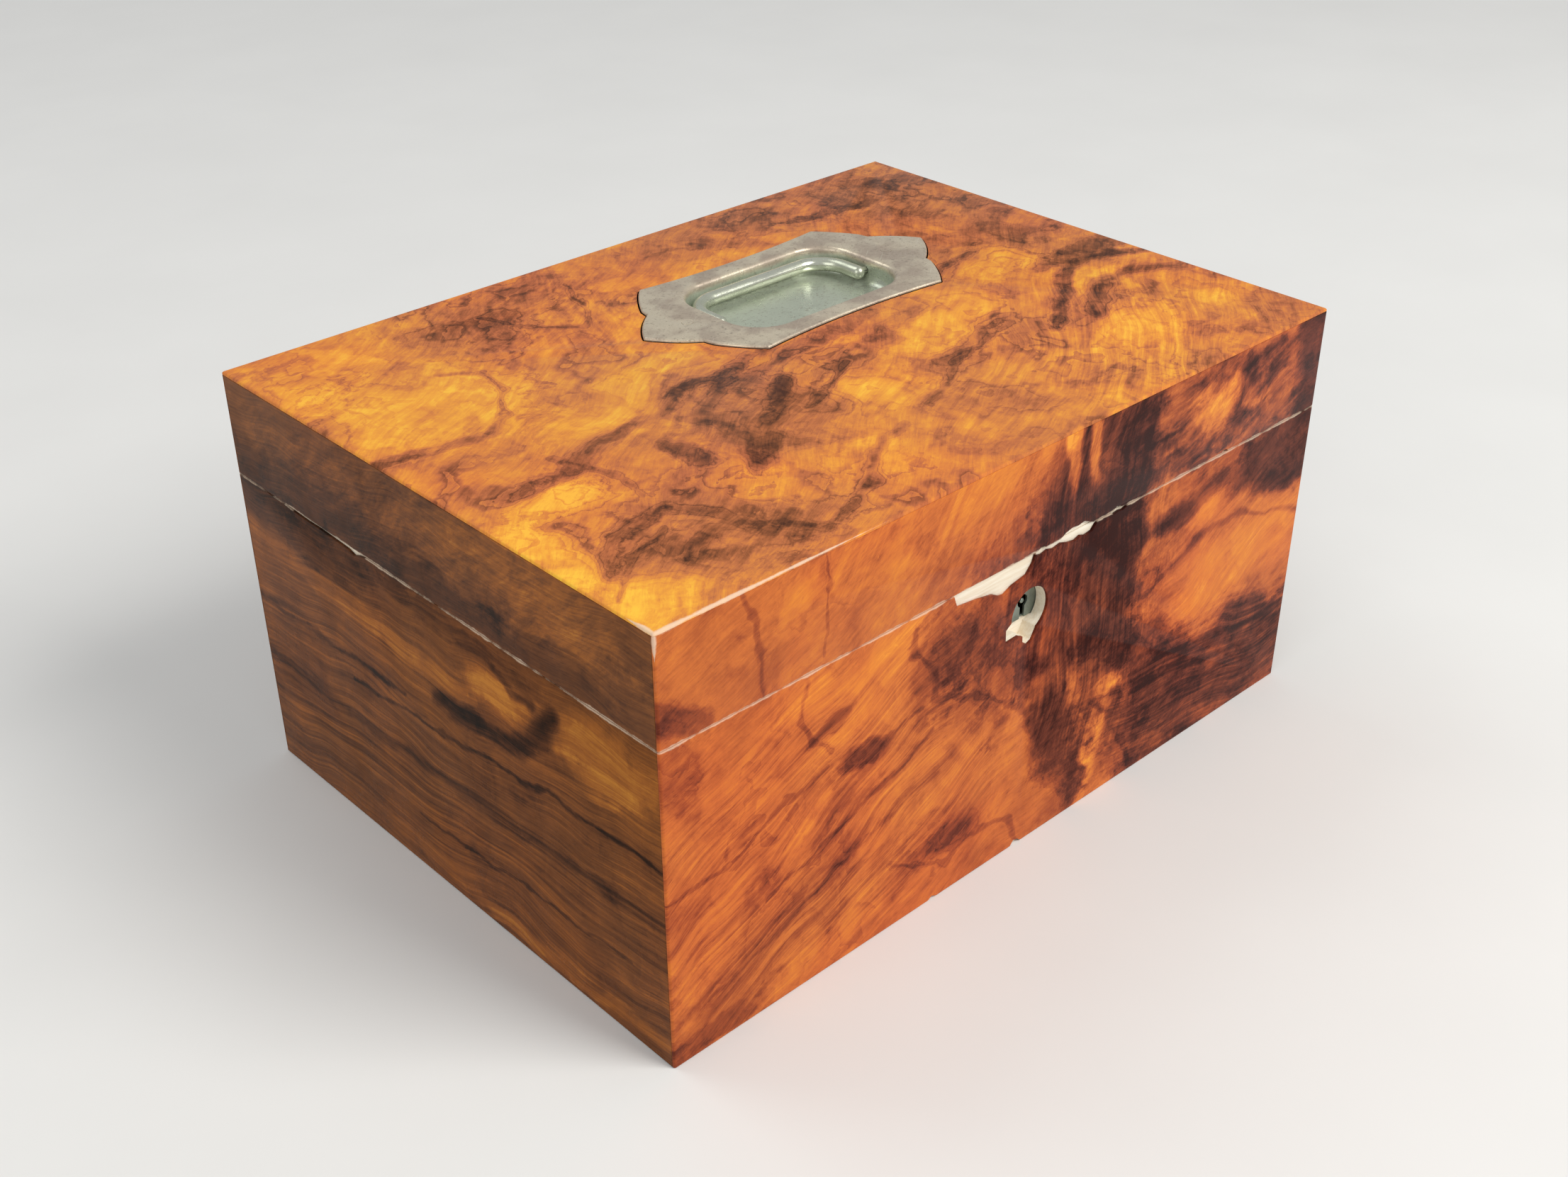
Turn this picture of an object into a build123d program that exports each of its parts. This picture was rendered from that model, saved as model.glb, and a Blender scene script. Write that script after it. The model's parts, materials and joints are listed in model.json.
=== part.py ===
from build123d import *
import os

os.makedirs("parts", exist_ok=True)

# The box stands on z = 0 with its front at -y. All sizes are in millimetres.

# Closed box, without the raised handle plate
box_width = 300.0
box_depth = 217.0
base_height = 113.0
lid_height = 36.7
seam_gap = 0.3

# Woodwork
veneer = 1.0
wall_board = 10.0
bottom_board_thickness = 8.0
lid_board_thickness = 12.0
edge_round = 0.8
glue_line = 0.05
tail_pitch = 26.0
tail_neck = 10.0
tail_flare = 3.0

# Screws of the hinges and the lock
screw_shank = 1.1
screw_head = 2.1
screw_length = 8.5
screw_tip = 1.5
screw_fit = 0.05

# Butt hinges
hinge_inset = 62.0
hinge_length = 40.0
leaf_thickness = 1.6
leaf_depth = 9.5
leaf_screw_pitch = 13.0
knuckle_radius = 2.5
knuckle_count = 5
knuckle_gap = 0.2
knuckle_room = 0.3
hinge_set_back = 1.0
pin_radius = 1.0
pin_fit = 0.05
seat_fit = 0.1

# Lock let into the front wall, with its link plate under the lid
lock_x = 1.5
lock_plate_height = 28.0
lock_metal = 1.2
selvedge_depth = 8.0
case_width = 42.0
lock_plate_side = 4.0
case_height = 24.8
case_depth = 4.8
case_wall = 0.7
mortise_fit = 0.2
lock_screw_rise = 6.0
lock_screw_length = 9.0
staple_spread = 20.0
staple_thickness = 1.6
staple_width = 3.4
staple_drop = 8.0
staple_eye_width = 2.0
staple_eye_height = 4.0
staple_rim = 1.0
staple_slot_room = 0.4
staple_round = 1.0
link_screw_x = 18.0
bolt_travel = 5.0
bolt_clearance = 0.6
bolt_side_room = 0.25
bolt_drop = 15.5
bolt_height = 6.0
bolt_tail = 6.0
finger_height = 2.0
finger_width = 1.5
stem_width = 2.0
talon_width = 4.0
talon_depth = 2.0
stud_radius = 1.0
stud_fit = 0.1
stud_left = 11.0
stud_right = 4.5
drill_pin_radius = 0.9
keyhole_drop = 18.6
keyhole_radius = 2.3
keyhole_slot_width = 2.2
keyhole_slot_length = 8.5
spring_thickness = 0.4
spring_width = 3.0
spring_belly = 2.0

# Hole left in the front by the lost escutcheon: its place from the keyhole, and its two feet from its middle
escutcheon_shift = (-2.2, -0.7)
escutcheon_radius = 8.5
left_foot = [(-10.7, -7.3), (-10.9, -2.5), (-8.3, -0.7), (-2.3, -2.5), (-2.9, -6.9)]
right_foot = [(-2.9, -5.5), (-2.5, -10.3), (0.1, -12.3), (2.1, -11.5), (4.1, -7.9), (4.1, -4.5)]

# Flakes lost from the veneer: how far along, and how deep from the edge
seam_chip = [
    (-36.6, 0.0),
    (-35.0, 4.4),
    (-25.5, 5.6),
    (-19.0, 6.8),
    (-15.8, 8.6),
    (-13.6, 9.0),
    (-10.0, 7.4),
    (-3.4, 6.2),
    (-0.6, 3.0),
    (0.4, 0.0),
]
seam_flake = [
    (0.4, 0.0),
    (1.2, 1.2),
    (3.4, 1.6),
    (6.0, 1.0),
    (9.0, 1.9),
    (12.5, 1.3),
    (16.0, 2.4),
    (19.5, 3.0),
    (22.0, 2.2),
    (24.5, 3.1),
    (27.6, 2.7),
    (29.2, 1.1),
    (30.6, 0.0),
]
seam_crumb = [(36.8, 0.0), (38.5, 0.8), (41.0, 0.5), (43.0, 0.9), (46.0, 0.0)]
lid_flake = [(12.0, 0.0), (14.5, 1.3), (17.6, 2.0), (20.5, 1.6), (23.4, 2.1), (26.0, 0.9), (28.0, 0.0)]
lid_crumbs = [
    [(1.6, 0.0), (2.6, 0.9), (4.2, 0.7), (5.0, 0.0)],
    [(38.0, 0.0), (39.6, 1.1), (41.4, 0.8), (42.6, 0.0)],
    [(95.6, 0.0), (96.8, 0.9), (98.6, 0.8), (99.6, 0.0)],
]
foot_nicks = [
    [(-42.4, 0.0), (-40.8, 1.0), (-38.6, 0.0)],
    [(-2.2, 0.0), (-0.8, 1.7), (1.4, 1.3), (2.8, 0.0)],
]
left_sliver = [
    (30.5, 0.0),
    (33.0, 0.6),
    (36.0, 1.2),
    (38.5, 2.2),
    (42.0, 1.3),
    (50.0, 1.0),
    (58.0, 0.7),
    (66.0, 0.9),
    (74.0, 0.7),
    (78.0, 0.0),
]

# Tray and what carries it
tray_floor_z = 78.0
tray_height = 32.0
tray_wall = 4.0
tray_gap = 0.8
tray_floor_thickness = 2.5
tray_round = 1.2
divider_thickness = 2.5
divider_drop = 4.0
divider_fit = 0.1
front_row_y = -31.0
back_row_y = 31.0
column_x = 45.0
ledge_width = 3.0
ledge_height = 8.0
lining_paper = 0.6
cushion_gap = 0.4
cushion_rise = 1.0
cushion_crown = 12.0
cushion_corner = 5.0
tab_width = 14.0
tab_length = 20.0
tab_thickness = 0.8
tab_rise = 5.0
tab_round = 3.0

# Padded lining inside the lid
lining_frame_width = 8.0
lining_frame_thickness = 3.0
lining_pad_thickness = 8.0
lining_pad_gap = 0.3
lining_pad_round = 4.0

# Flush handle
handle_from_right = 119.4
handle_from_back = 75.7
plate_half_length = 67.0
plate_corner_x = 41.5
plate_corner_y = 33.6
plate_hollow = 2.6
plate_thickness = 2.0
plate_edge = 0.5
notch_inner = (53.4, 14.8)
notch_outer = (52.6, 18.6)
outer_scallop = (60.9, 8.3)
inner_scallop = (47.6, 26.4)
pan_half_length = 37.0
pan_half_width = 22.8
pan_corner = 14.0
pan_depth = 9.0
pan_wall = 1.2
pan_floor_round = 4.0
pan_rim_round = 1.8
pan_seat_fit = 0.3
pivot_drop = 4.7
boss_radius = 2.6
boss_length = 3.0
trunnion_radius = 1.5
trunnion_fit = 0.05
trunnion_end_gap = 0.4
bail_radius = 2.5
bail_half_span = 33.4
bail_reach = 18.7
bail_bend = 12.5
plate_pin_x = 48.0
plate_pin_length = 9.0

# Derived places of the woodwork
carcass_width = box_width - 2 * veneer
carcass_depth = box_depth - 2 * veneer
inner_width = carcass_width - 2 * wall_board
inner_depth = carcass_depth - 2 * wall_board
front_y = -box_depth / 2
back_y = box_depth / 2
front_inner_y = -inner_depth / 2
lid_bottom = base_height + seam_gap
lid_top = lid_bottom + lid_height
lid_board_top = lid_top - veneer
lid_ceiling = lid_board_top - lid_board_thickness


def block(x, y, z, mode=Mode.ADD):
    """A block between three pairs of limits, added to or cut from the open part."""
    with Locations(((x[0] + x[1]) / 2, (y[0] + y[1]) / 2, (z[0] + z[1]) / 2)):
        Box(x[1] - x[0], y[1] - y[0], z[1] - z[0], mode=mode)


def about(centre, width, grow=0.0):
    """The pair of limits of a width about a centre."""
    return (centre - width / 2 - grow, centre + width / 2 + grow)


def save(builder, name):
    """Labels a finished piece and writes it."""
    builder.part.label = name
    export_step(builder.part, f"parts/{name}.step")


# Carcass: four dovetailed walls on a bottom board, and four more under the lid board


def tail_heights(low, high):
    """The middle of each dovetail up one corner."""
    count = max(1, round((high - low) / tail_pitch))
    step = (high - low) / count
    return [low + step * (place + 0.5) for place in range(count)]


def tail_points(end, height, grow):
    """One dovetail from its neck at the shoulder to its wide end at the outer face."""
    shoulder = end * inner_depth / 2
    face = end * carcass_depth / 2
    neck = tail_neck / 2 + grow
    wide = neck + tail_flare
    return [
        (shoulder, height - neck),
        (face, height - wide),
        (face, height + wide),
        (shoulder, height + neck),
    ]


def side_wall(side, low, high):
    """A left (-1) or right (1) wall, with the tails at both its ends."""
    start = min(side * inner_width / 2, side * carcass_width / 2)
    with BuildPart() as wall:
        with BuildSketch(Plane.YZ.offset(start)):
            with Locations((0, (low + high) / 2)):
                Rectangle(inner_depth, high - low)
            for end in (-1, 1):
                for height in tail_heights(low, high):
                    Polygon(*tail_points(end, height, 0.0), align=None)
        extrude(amount=wall_board)
    return wall


def long_wall(end, low, high):
    """A front (-1) or back (1) wall, with the sockets that take the tails."""
    with BuildPart() as wall:
        with BuildSketch(Plane.XY.offset(low)):
            with Locations((0, end * (inner_depth + wall_board) / 2)):
                Rectangle(carcass_width, wall_board)
        extrude(amount=high - low)
        for side in (-1, 1):
            start = min(side * inner_width / 2, side * carcass_width / 2)
            with BuildSketch(Plane.YZ.offset(start)):
                for height in tail_heights(low, high):
                    Polygon(*tail_points(end, height, glue_line), align=None)
            extrude(amount=wall_board, mode=Mode.SUBTRACT)
    return wall


# Screws


def screws(planes, length=screw_length):
    """Countersunk screws with their heads flush with the given planes."""
    with BuildPart() as pattern:
        with BuildSketch(Plane.XZ):
            with BuildLine():
                Polyline(
                    (0, 0),
                    (screw_head, 0),
                    (screw_shank, screw_shank - screw_head),
                    (screw_shank, screw_tip - length),
                    (0, -length),
                    close=True,
                )
            make_face()
        revolve(axis=Axis.Z)
    with BuildPart() as group:
        with Locations(*planes):
            add(pattern.part)
    return group


def sink_screws(planes, length=screw_length):
    """Countersunk holes for those screws in the open part."""
    with Locations(*planes):
        CounterSinkHole(screw_shank + screw_fit, screw_head + screw_fit, length + screw_fit, 90)


def facing(direction, places):
    """Planes at the given places that face one way."""
    return [Plane(origin=place, z_dir=direction) for place in places]


# Hinges: positions shared by the leaves, the pins and the wood they are let into

hinge_y = back_y + hinge_set_back
hinge_z = base_height + seam_gap / 2
hinge_centres = (hinge_inset - box_width / 2, box_width / 2 - hinge_inset)
knuckle_pitch = hinge_length / knuckle_count
leaf_inner_y = hinge_y - knuckle_radius - leaf_depth
leaf_screw_y = leaf_inner_y + leaf_depth / 2
leaf_screw_steps = (-leaf_screw_pitch, 0.0, leaf_screw_pitch)


def leaf_screw_places(height, centres=hinge_centres):
    """Where the leaf screws start, at one height."""
    return [(centre + step, leaf_screw_y, height) for centre in centres for step in leaf_screw_steps]


lower_leaf_screws = facing((0, 0, 1), leaf_screw_places(base_height))
upper_leaf_screws = facing((0, 0, -1), leaf_screw_places(lid_bottom))


def knuckle_room_cut():
    """Clears the barrels of both hinges out of the open part."""
    for centre in hinge_centres:
        with Locations(Plane(origin=(centre, hinge_y, hinge_z), z_dir=(1, 0, 0))):
            Cylinder(
                knuckle_radius + knuckle_room,
                hinge_length + 2 * seat_fit,
                mode=Mode.SUBTRACT,
            )


def leaf_seat_cut(low, high):
    """Lets the leaves of both hinges into the edge of a back wall."""
    for centre in hinge_centres:
        block(
            about(centre, hinge_length, seat_fit),
            (leaf_inner_y - seat_fit, back_y),
            (low, high),
            Mode.SUBTRACT,
        )


# Lock: positions shared by its pieces and the wood they are let into

lock_face_y = front_inner_y
lock_plate_width = case_width + 2 * lock_plate_side
lock_screw_x = (case_width + lock_plate_side) / 2
case_back_y = lock_face_y - lock_metal
case_front_y = case_back_y - case_depth
case_top_z = base_height - lock_metal
case_low_z = case_top_z - case_height
lock_plate_low_z = base_height - lock_plate_height
staple_y = case_back_y - (case_depth - case_wall) / 2
staple_centres = (lock_x - staple_spread / 2, lock_x + staple_spread / 2)
staple_low_z = lid_bottom - staple_drop
eye_z = staple_low_z + staple_rim + staple_eye_height / 2
keyhole_z = case_top_z - keyhole_drop
escutcheon_centre = (lock_x + escutcheon_shift[0], keyhole_z + escutcheon_shift[1])
bolt_low_z = base_height - bolt_drop
bolt_top_z = bolt_low_z + bolt_height
link_plate_y = about(lock_face_y - selvedge_depth / 2, selvedge_depth)
lock_screw_points = [
    (lock_x + side * lock_screw_x, lock_face_y, lock_plate_low_z + rise)
    for side in (-1, 1)
    for rise in (lock_screw_rise, lock_plate_height - lock_screw_rise)
]
lock_screw_planes = facing((0, 1, 0), lock_screw_points)
link_screw_points = [(lock_x + side * link_screw_x, sum(link_plate_y) / 2, lid_bottom) for side in (-1, 1)]
link_screw_planes = facing((0, 0, -1), link_screw_points)


def escutcheon_outline():
    """The pale hole where the escutcheon was: a round with two torn feet."""
    with BuildSketch() as outline:
        with Locations(escutcheon_centre):
            Circle(escutcheon_radius)
            Polygon(*left_foot, align=None)
            Polygon(*right_foot, align=None)
    return outline.sketch


# Base walls and bottom board

front_wall = long_wall(-1, bottom_board_thickness, base_height)
back_wall = long_wall(1, bottom_board_thickness, base_height)

with BuildPart() as base_front_board:
    add(front_wall.part)
    block(
        about(lock_x, lock_plate_width, seat_fit),
        (lock_face_y - lock_metal, lock_face_y),
        (lock_plate_low_z - seat_fit, base_height),
        Mode.SUBTRACT,
    )
    block(
        about(lock_x, lock_plate_width, seat_fit),
        (link_plate_y[0] - seat_fit, lock_face_y),
        (case_top_z, base_height),
        Mode.SUBTRACT,
    )
    block(
        about(lock_x, case_width, mortise_fit),
        (case_front_y - mortise_fit, lock_face_y),
        (case_low_z - mortise_fit, base_height),
        Mode.SUBTRACT,
    )
    with BuildSketch(Plane.XZ.offset(-front_y)) as lost_escutcheon:
        add(escutcheon_outline())
    extrude(amount=-(veneer + wall_board / 2), mode=Mode.SUBTRACT)
    sink_screws(lock_screw_planes, lock_screw_length)
save(base_front_board, "base_front_board")

with BuildPart() as base_back_board:
    add(back_wall.part)
    leaf_seat_cut(base_height - leaf_thickness, base_height)
    knuckle_room_cut()
    sink_screws(lower_leaf_screws)
save(base_back_board, "base_back_board")

base_left_board = side_wall(-1, bottom_board_thickness, base_height)
save(base_left_board, "base_left_board")

base_right_board = side_wall(1, bottom_board_thickness, base_height)
save(base_right_board, "base_right_board")

with BuildPart() as bottom_board:
    with BuildSketch():
        Rectangle(carcass_width, carcass_depth)
    extrude(amount=bottom_board_thickness)
save(bottom_board, "bottom_board")


# Veneer: the front and back sheets cover the ends of the side sheets


def long_veneer(end, low, high):
    """A front (-1) or back (1) sheet with softened corners."""
    face_y = end * box_depth / 2
    with BuildPart() as sheet:
        with BuildSketch(Plane.XY.offset(low)):
            with Locations((0, face_y - end * veneer / 2)):
                Rectangle(box_width, veneer)
        extrude(amount=high - low)
        corners = sheet.edges().filter_by(Axis.Z).group_by(Axis.Y)[0 if end < 0 else -1]
        fillet(corners, edge_round)
    return sheet


def side_veneer(side, low, high):
    """A left (-1) or right (1) sheet between the front and back ones."""
    with BuildPart() as sheet:
        with BuildSketch(Plane.XY.offset(low)):
            with Locations((side * (box_width - veneer) / 2, 0)):
                Rectangle(veneer, carcass_depth)
        extrude(amount=high - low)
    return sheet


def chip(points, edge, way):
    """Breaks a flake of veneer out of the front of the open part, up or down from an edge."""
    with BuildSketch(Plane.XZ.offset(-front_y)) as flake:
        Polygon(*[(along, edge + way * depth) for along, depth in points], align=None)
    extrude(flake.sketch, amount=-veneer, mode=Mode.SUBTRACT)


front_sheet = long_veneer(-1, 0, base_height)
back_sheet = long_veneer(1, 0, base_height)

with BuildPart() as base_front_veneer:
    add(front_sheet.part)
    with BuildSketch(Plane.XZ.offset(-front_y)):
        add(escutcheon_outline())
    extrude(amount=-veneer, mode=Mode.SUBTRACT)
    for flake_points in (seam_chip, seam_flake, seam_crumb):
        chip(flake_points, base_height, -1)
    for nick_points in foot_nicks:
        chip(nick_points, 0, 1)
save(base_front_veneer, "base_front_veneer")

with BuildPart() as base_back_veneer:
    add(back_sheet.part)
    knuckle_room_cut()
save(base_back_veneer, "base_back_veneer")

left_sheet = side_veneer(-1, 0, base_height)

with BuildPart() as base_left_veneer:
    add(left_sheet.part)
    with BuildSketch(Plane.YZ.offset(-box_width / 2)):
        Polygon(*[(along, base_height - depth) for along, depth in left_sliver], align=None)
    extrude(amount=veneer, mode=Mode.SUBTRACT)
save(base_left_veneer, "base_left_veneer")

base_right_veneer = side_veneer(1, 0, base_height)
save(base_right_veneer, "base_right_veneer")


# Inside the base: paper lining below the ledges that carry the tray

ledge_low = tray_floor_z - ledge_height

with BuildPart() as well_lining:
    with BuildSketch(Plane.XY.offset(bottom_board_thickness)):
        Rectangle(inner_width, inner_depth)
    extrude(amount=ledge_low - bottom_board_thickness)
    offset(amount=-lining_paper, openings=well_lining.faces().sort_by(Axis.Z)[-1])
save(well_lining, "well_lining")

for side, name in ((-1, "left_tray_ledge"), (1, "right_tray_ledge")):
    with BuildPart() as ledge:
        with BuildSketch(Plane.XY.offset(ledge_low)):
            with Locations((side * (inner_width - ledge_width) / 2, 0)):
                Rectangle(ledge_width, inner_depth)
        extrude(amount=ledge_height)
        inner_edges = ledge.edges().filter_by(Axis.Y).group_by(Axis.X)[0 if side > 0 else -1]
        chamfer(inner_edges.sort_by(Axis.Z)[0], ledge_width / 2)
    save(ledge, name)


# Lock in the front wall

with BuildPart() as lock_plate:
    block(
        about(lock_x, lock_plate_width),
        (case_back_y, lock_face_y),
        (lock_plate_low_z, base_height),
    )
    block(about(lock_x, lock_plate_width), link_plate_y, (case_top_z, base_height))
    for centre in staple_centres:
        block(
            about(centre, staple_thickness, staple_slot_room),
            about(staple_y, staple_width, staple_slot_room),
            (case_top_z, base_height),
            Mode.SUBTRACT,
        )
    sink_screws(lock_screw_planes, lock_screw_length)
save(lock_plate, "lock_plate")

with BuildPart() as lock_case:
    block(about(lock_x, case_width), (case_front_y, case_back_y), (case_low_z, case_top_z))
    block(
        about(lock_x, case_width, -case_wall),
        (case_front_y + case_wall, case_back_y),
        (case_low_z + case_wall, case_top_z),
        Mode.SUBTRACT,
    )
    stud_z = bolt_low_z - stud_radius - stud_fit
    stud_places = [(lock_x - stud_left, case_back_y, stud_z), (lock_x + stud_right, case_back_y, stud_z)]
    with Locations(*facing((0, -1, 0), stud_places)):
        Cylinder(
            stud_radius,
            case_depth - case_wall,
            align=(Align.CENTER, Align.CENTER, Align.MIN),
        )
    with BuildSketch(Plane.XZ.offset(-case_front_y)):
        with Locations((lock_x, keyhole_z)):
            Circle(keyhole_radius)
        with Locations((lock_x, keyhole_z - keyhole_slot_length / 2)):
            Rectangle(keyhole_slot_width, keyhole_slot_length)
    extrude(amount=-case_wall, mode=Mode.SUBTRACT)
save(lock_case, "lock_case")

with BuildPart() as lock_drill_pin:
    with Locations(Plane(origin=(lock_x, case_back_y, keyhole_z), z_dir=(0, -1, 0))):
        Cylinder(drill_pin_radius, case_depth, align=(Align.CENTER, Align.CENTER, Align.MIN))
    fillet(lock_drill_pin.edges().sort_by(Axis.Y)[0], drill_pin_radius / 2)
save(lock_drill_pin, "lock_drill_pin")

# The spring bows up from the foot of the case to the underside of the bolt
spring_off_wall = case_wall + spring_thickness
spring_foot = (lock_x - case_width / 2 + spring_off_wall, case_low_z + spring_off_wall)
spring_tip = (lock_x - stud_left - 2 * stud_radius, bolt_low_z - spring_thickness)
spring_bow = (spring_foot[0] + spring_belly, (spring_foot[1] + spring_tip[1] + spring_belly) / 2)

with BuildPart() as lock_spring:
    with BuildSketch(Plane.XZ.offset(-(staple_y + spring_width / 2))):
        with BuildLine() as spring_line:
            ThreePointArc(spring_foot, spring_bow, spring_tip)
        trace(line_width=spring_thickness)
    extrude(amount=spring_width)
save(lock_spring, "lock_spring")

finger_left = staple_centres[0] - staple_thickness / 2 - bolt_clearance - bolt_travel - stem_width
bolt_right = lock_x + bolt_tail

with BuildPart() as lock_bolt:
    block(
        (finger_left, bolt_right),
        (case_front_y + case_wall + bolt_side_room, case_back_y - bolt_side_room),
        (bolt_low_z, bolt_top_z),
    )
    block(
        about(lock_x, talon_width),
        (case_front_y, case_back_y),
        (bolt_low_z, bolt_low_z + talon_depth),
        Mode.SUBTRACT,
    )
    for shift in (0.0, staple_spread):
        start = finger_left + shift
        block(
            (start, start + stem_width),
            about(staple_y, finger_width),
            (bolt_top_z, eye_z + finger_height / 2),
        )
        block(
            (start + stem_width, start + stem_width + bolt_travel),
            about(staple_y, finger_width),
            about(eye_z, finger_height),
        )
save(lock_bolt, "lock_bolt")

lock_screws = screws(lock_screw_planes, lock_screw_length)
save(lock_screws, "lock_screws")


# Hinges


def hinge_leaf(centre, low, high, own_knuckles, screw_planes):
    """A leaf with its share of the knuckles and its countersunk holes."""
    start = centre - hinge_length / 2
    with BuildPart() as leaf:
        block((start, start + hinge_length), (leaf_inner_y, hinge_y), (low, high))
        with BuildSketch(Plane.YZ.offset(start)):
            with Locations((hinge_y, hinge_z)):
                Circle(knuckle_radius + knuckle_room)
        extrude(amount=hinge_length, mode=Mode.SUBTRACT)
        for place in own_knuckles:
            with BuildSketch(Plane.YZ.offset(start + place * knuckle_pitch + knuckle_gap / 2)):
                with Locations((hinge_y, hinge_z)):
                    Circle(knuckle_radius)
                with Locations((hinge_y, (low + high) / 2)):
                    Rectangle(
                        knuckle_radius + 2 * knuckle_room,
                        high - low,
                        align=(Align.MAX, Align.CENTER),
                    )
            extrude(amount=knuckle_pitch - knuckle_gap)
        with Locations(Plane(origin=(centre, hinge_y, hinge_z), z_dir=(1, 0, 0))):
            Cylinder(pin_radius + pin_fit, hinge_length, mode=Mode.SUBTRACT)
        sink_screws(screw_planes)
    return leaf


lower_knuckles = range(0, knuckle_count, 2)
upper_knuckles = range(1, knuckle_count, 2)

for centre, hand in zip(hinge_centres, ("left", "right")):
    lower = hinge_leaf(
        centre,
        base_height - leaf_thickness,
        base_height,
        lower_knuckles,
        facing((0, 0, 1), leaf_screw_places(base_height, (centre,))),
    )
    save(lower, f"{hand}_hinge_lower_leaf")
    upper = hinge_leaf(
        centre,
        lid_bottom,
        lid_bottom + leaf_thickness,
        upper_knuckles,
        facing((0, 0, -1), leaf_screw_places(lid_bottom, (centre,))),
    )
    save(upper, f"{hand}_hinge_upper_leaf")
    with BuildPart() as hinge_pin:
        with Locations(Plane(origin=(centre, hinge_y, hinge_z), z_dir=(1, 0, 0))):
            Cylinder(pin_radius, hinge_length)
        chamfer(hinge_pin.edges().filter_by(GeomType.CIRCLE), pin_radius / 4)
    save(hinge_pin, f"{hand}_hinge_pin")

lower_hinge_screws = screws(lower_leaf_screws)
save(lower_hinge_screws, "lower_hinge_screws")

upper_hinge_screws = screws(upper_leaf_screws)
save(upper_hinge_screws, "upper_hinge_screws")


# Flush handle: outline, pressed plate with its pan, bail and fixing pins

plate_bottom = lid_board_top
plate_top = plate_bottom + plate_thickness
pan_floor_z = plate_top - pan_depth
pivot_z = plate_top - pivot_drop
handle_x = box_width / 2 - handle_from_right
handle_y = box_depth / 2 - handle_from_back
handle_centre = (handle_x, handle_y)
boss_x = pan_half_length + pan_wall / 2
plate_pin_planes = facing(
    (0, 0, 1), [(handle_x + side * plate_pin_x, handle_y, plate_top) for side in (-1, 1)]
)


def plate_outline(grow=0.0):
    """The handle plate: hollow long edges and two scallops on each slanted side."""
    with BuildSketch() as outline:
        with BuildLine() as quarter:
            ThreePointArc((plate_half_length, 0), outer_scallop, notch_inner)
            Line(notch_inner, notch_outer)
            ThreePointArc(notch_outer, inner_scallop, (plate_corner_x, plate_corner_y))
            TangentArc((0, plate_corner_y - plate_hollow), (plate_corner_x, plate_corner_y), tangent=(1, 0))
            mirror(about=Plane.YZ)
            mirror(about=Plane.XZ)
        make_face()
        if grow:
            offset(amount=grow, kind=Kind.INTERSECTION)
    return outline.sketch


def pan_outline(grow=0.0):
    """The round-cornered mouth of the pan."""
    with BuildSketch() as outline:
        RectangleRounded(2 * (pan_half_length + grow), 2 * (pan_half_width + grow), pan_corner + grow)
    return outline.sketch


with BuildPart() as pan_hollow:
    with BuildSketch(Plane.XY.offset(plate_top)):
        with Locations(handle_centre):
            add(pan_outline())
    extrude(amount=-pan_depth)
    fillet(pan_hollow.faces().sort_by(Axis.Z)[0].edges(), pan_floor_round)

with BuildPart() as handle_plate:
    with BuildSketch(Plane.XY.offset(plate_bottom)):
        with Locations(handle_centre):
            add(plate_outline())
    extrude(amount=plate_thickness)
    with BuildSketch(Plane.XY.offset(plate_bottom)):
        with Locations(handle_centre):
            add(pan_outline(pan_wall))
    extrude(amount=pan_floor_z - pan_wall - plate_bottom)
    floor_edges = handle_plate.faces().sort_by(Axis.Z)[0].edges()
    fillet(floor_edges, pan_floor_round + pan_wall)
    with Locations(
        *[
            Plane(origin=(handle_x + side * boss_x, handle_y, pivot_z), z_dir=(side, 0, 0))
            for side in (-1, 1)
        ]
    ):
        Cylinder(boss_radius, boss_length + pan_wall / 2, align=(Align.CENTER, Align.CENTER, Align.MIN))
    add(pan_hollow.part, mode=Mode.SUBTRACT)
    top_face = handle_plate.faces().sort_by(Axis.Z)[-1]
    fillet(top_face.inner_wires()[0].edges(), pan_rim_round)
    top_face = handle_plate.faces().sort_by(Axis.Z)[-1]
    chamfer(top_face.outer_wire().edges(), plate_edge)
    with Locations(Plane(origin=(handle_x, handle_y, pivot_z), z_dir=(1, 0, 0))):
        Cylinder(
            trunnion_radius + trunnion_fit,
            2 * (pan_half_length + pan_wall + boss_length),
            mode=Mode.SUBTRACT,
        )
    sink_screws(plate_pin_planes, plate_pin_length)
save(handle_plate, "handle_plate")

bail_plane = Plane(origin=(handle_x, handle_y, pivot_z))
trunnion_length = pan_half_length + pan_wall + boss_length - trunnion_end_gap - bail_half_span

with BuildPart() as handle_bail:
    with BuildLine(bail_plane) as bail_path:
        FilletPolyline(
            (-bail_half_span, 0),
            (-bail_half_span, bail_reach),
            (bail_half_span, bail_reach),
            (bail_half_span, 0),
            radius=bail_bend,
        )
    with BuildSketch(Plane(origin=bail_path.line @ 0, z_dir=bail_path.line % 0)):
        Circle(bail_radius)
    sweep()
    for side in (-1, 1):
        with Locations((handle_x + side * bail_half_span, handle_y, pivot_z)):
            Sphere(bail_radius)
        trunnion_plane = Plane(
            origin=(handle_x + side * bail_half_span, handle_y, pivot_z), z_dir=(side, 0, 0)
        )
        with Locations(trunnion_plane):
            Cylinder(
                trunnion_radius,
                trunnion_length,
                align=(Align.CENTER, Align.CENTER, Align.MIN),
            )
save(handle_bail, "handle_bail")

handle_pins = screws(plate_pin_planes, plate_pin_length)
save(handle_pins, "handle_pins")


# Lid: the board over four dovetailed walls, let out for the handle

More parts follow.
